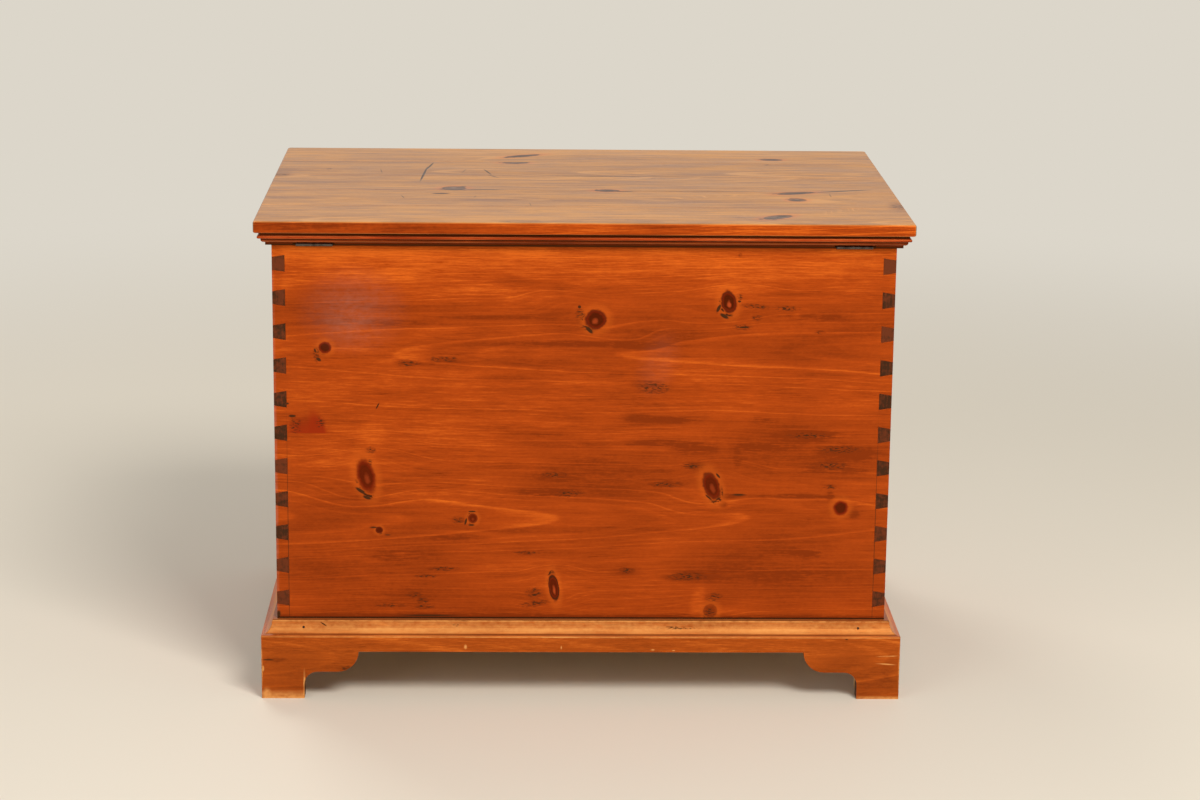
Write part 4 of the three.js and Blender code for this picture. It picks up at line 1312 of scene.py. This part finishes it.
        # Painted shade: darker bands and lines in the moulding's quirks, where the lid's overhang shades it.
        shade = Marks(shades=(Spot(0, 660.5, 2400, 6, 0, 0.7), Spot(0, 665, 2400, 5, 0, 0.3)),
                      hairs=(Spot(0, 675.6, 2400, 2.8, 0, 0.8), Spot(0, 668.0, 2400, 1.7, 0, 0.7),
                             Spot(0, 662.8, 2400, 1.3, 0, 0.7), Spot(0, 659.4, 2400, 1.9, 0, 0.6)))
        rows = (("back", Lay.LONG_SIDE, 560, 260), ("front", Lay.LONG_SIDE, 600, -400),
                ("left", Lay.END, 580, 520), ("right", Lay.END, 620, -540))
        return tuple(
            Board(f"lid_frame_{side}", lay, (Heart(across, through, 0.02),), seed=61.0 + number, marks=shade,
                  bevel=self.bevel)
            for number, (side, lay, across, through) in enumerate(rows))

    def dress(self, dresser: Dresser) -> None:
        """Dresses the boards and the strips.

        Args:
            dresser: gives the nodes their finish.
        """
        # The lid's upper face is paler and duller than its edges: partly a faded finish, partly painted
        # reflection of the pale surroundings in its veil.
        faded = Shellac(knot="4a3024", knot_rim="7c4e2c", knot_heart="7e6456", bark="1c0e0a", speck="24140f",
                        end_light="7a3e1e", end_dark="4c2614")
        # A pitch that is larger than the lid gives each end of a board one tone.
        lid_pine = Pine(faded, BarePine(), self.inside, veil_share=0.88, rub=0.5, contrast=1.5, breadth=2.0,
                        pin_pitch=FAR, first_pin=-FAR / 2)
        dresser.dress_boards(self.boards(), lid_pine)
        # Their darker, redder shellac is partly the wood's own colour and partly painted shade under the
        # lid's overhang.
        red_and_shaded = Shellac(light="cc5a28", middle="983212", dark="420c04", speck="240804")
        dresser.dress_boards(self.strips(), Pine(red_and_shaded, BarePine(), self.inside, rub=0.25))


@dataclass
class Hinges:
    """The two butt hinges, their pins and their countersunk screws.

    Args:
        bevel: width that the edges of the leaves are eased by, in millimetres.
    """

    bevel: float = 0.15

    sides = ("left", "right")
    leaves = ("case", "lid")
    screws = (1, 2, 3)

    def dress(self, dresser: Dresser) -> None:
        """Dresses the hinges.

        Args:
            dresser: gives the nodes their finish.
        """
        browned, turned = BROWNED_STEEL.material(), TURNED_STEEL.material()
        for side in self.sides:
            dresser.dress(f"hinge_{side}_pin", browned)
            for leaf in self.leaves:
                dresser.dress(f"hinge_{side}_{leaf}_leaf", browned, self.bevel)
                for screw in self.screws:
                    dresser.dress(f"hinge_{side}_{leaf}_screw_{screw}", turned)


# Studio


@dataclass(frozen=True)
class Softbox:
    """A square soft lamp.

    Args:
        name: its name.
        place: where it stands, in metres.
        aim: the point it faces, in metres.
        side: its side, in metres.
        power: its power, in watts.
        colour: its colour.
    """

    name: str
    place: Place
    aim: Place
    side: float
    power: float
    colour: str = "fffaf2"

    def build(self) -> None:
        """Makes the lamp."""
        data = bpy.data.lights.new(self.name, "AREA")
        data.shape = "SQUARE"
        data.size = self.side
        data.energy = self.power
        data.color = linear(self.colour)[:3]
        lamp = bpy.data.objects.new(self.name, data)
        lamp.location = self.place
        lamp.rotation_euler = (Vector(self.aim) - Vector(self.place)).to_track_quat("-Z", "Y").to_euler()
        bpy.context.scene.collection.objects.link(lamp)


@dataclass
class Studio:
    """The camera, the lamps, the pale surroundings and the floor.

    Args:
        eye: place of the camera, in metres.
        turn: how far the camera's view is turned from the square view of the back, in degrees.
        drop: how far it looks down, in degrees.
        roll: how far it is rolled, in degrees.
        lens: focal length for a picture 36 mm wide, in millimetres.
        floor_side: side of the floor, in metres.
        floor_colour: colour of the floor.
        air_colour: colour of the surroundings.
        air_light: how strongly the surroundings light the scene.
        air_seen: how bright the surroundings look, and look in a gloss.
        floor_reach: distances from the chest between which the floor turns into the surroundings, in metres.
    """

    eye: Place = (0.09113, 4.36409, 1.44751)
    turn: float = 1.609
    drop: float = 13.948
    roll: float = 0.635
    lens: float = 89.208
    floor_side: float = 60.0
    floor_colour: str = "dcd6ca"
    air_colour: str = "f4f0e8"
    air_light: float = 0.42
    air_seen: float = 0.72
    floor_reach: tuple[float, float] = (1.3, 3.6)

    lamps = (
        Softbox("key_lamp", (-1.6, 3.4, 3.9), (0.0, 0.0, 0.35), 1.8, 215.0),
        Softbox("side_lamp", (3.0, 3.6, 2.0), (0.0, 0.0, 0.35), 2.4, 40.0),
        Softbox("far_lamp", (2.0, -3.6, 4.6), (0.0, 0.0, 0.4), 2.0, 80.0),
    )

    def build_camera(self) -> None:
        """Makes the camera and gives it to the scene."""
        data = bpy.data.cameras.new("camera")
        data.lens = self.lens
        data.sensor_width = FILM_WIDTH
        camera = bpy.data.objects.new("camera", data)
        camera.matrix_world = (
            Matrix.Translation(self.eye) @ Matrix.Rotation(radians(180 - self.turn), 4, "Z")
            @ Matrix.Rotation(radians(90 - self.drop), 4, "X") @ Matrix.Rotation(radians(self.roll), 4, "Z"))
        scene = bpy.context.scene
        scene.collection.objects.link(camera)
        scene.camera = camera

    def build_air(self) -> None:
        """Makes the pale surroundings."""
        world = bpy.data.worlds.new("pale_surroundings")
        world.use_nodes = True
        tree = world.node_tree
        tree.nodes.clear()
        ray = add(tree, "ShaderNodeLightPath").outputs
        seen = add(tree, MATH, {0: ray["Is Camera Ray"], 1: ray["Is Glossy Ray"]}, operation="MAXIMUM")
        seen = add(tree, MATH, {0: seen, 1: ray["Is Transmission Ray"]}, operation="MAXIMUM")
        strength = add(tree, MIX, {0: seen, 2: self.air_light, 3: self.air_seen}, data_type="FLOAT")
        glow = add(tree, "ShaderNodeBackground", {0: linear(self.air_colour), 1: strength})
        add(tree, "ShaderNodeOutputWorld", {0: glow})
        bpy.context.scene.world = world

    def build_floor(self) -> None:
        """Makes the floor."""
        half = self.floor_side / 2
        mesh = bpy.data.meshes.new("floor")
        corners = [(-half, -half, 0), (half, -half, 0), (half, half, 0), (-half, half, 0)]
        mesh.from_pydata(corners, [], [(0, 1, 2, 3)])
        # Matt painted board: flat and pale, with a faint unevenness of the roller. Far off it turns, for the
        # camera alone, into the pale surroundings.
        material = new_material("matt_painted_floor")
        tree = material.node_tree
        place = add(tree, "ShaderNodeTexCoord").outputs["Object"]
        uneven = add(tree, NOISE, {"Vector": place, "Scale": 2.0, "Detail": 3.0})
        rough = add(tree, RANGE, {0: uneven, 3: 0.6, 4: 0.75})
        paint_coat = add(tree, "ShaderNodeBsdfPrincipled", {"Base Color": linear(self.floor_colour),
                                                            "Roughness": rough})
        glow = add(tree, "ShaderNodeEmission", {0: linear(self.floor_colour), 1: 1.0})
        far = add(tree, VECTOR, {0: place}, operation="LENGTH").outputs["Value"]
        away = add(tree, RANGE, {0: far, 1: self.floor_reach[0], 2: self.floor_reach[1]}, **SMOOTH)
        ray = add(tree, "ShaderNodeLightPath").outputs
        seen = add(tree, MATH, {0: away, 1: ray["Is Camera Ray"]}, operation="MULTIPLY")
        shader = add(tree, "ShaderNodeMixShader", {0: seen, 1: paint_coat, 2: glow})
        add(tree, "ShaderNodeOutputMaterial", {"Surface": shader})
        mesh.materials.append(material)
        floor = bpy.data.objects.new("floor", mesh)
        bpy.context.scene.collection.objects.link(floor)

    def build(self) -> None:
        """Makes the whole studio."""
        bpy.context.scene.view_settings.view_transform = "Standard"
        self.build_camera()
        self.build_air()
        self.build_floor()
        for lamp in self.lamps:
            lamp.build()
        log.info("studio: camera, %d lamps, floor", len(self.lamps))


def main() -> None:
    """Builds the studio and dresses the chest."""
    Studio().build()
    dresser = Dresser()
    for part in (Case(), Base(), Bottom(), Lid(), Hinges()):
        part.dress(dresser)
        log.info("%s done", type(part).__name__)


if __name__ == "__main__":
    main()
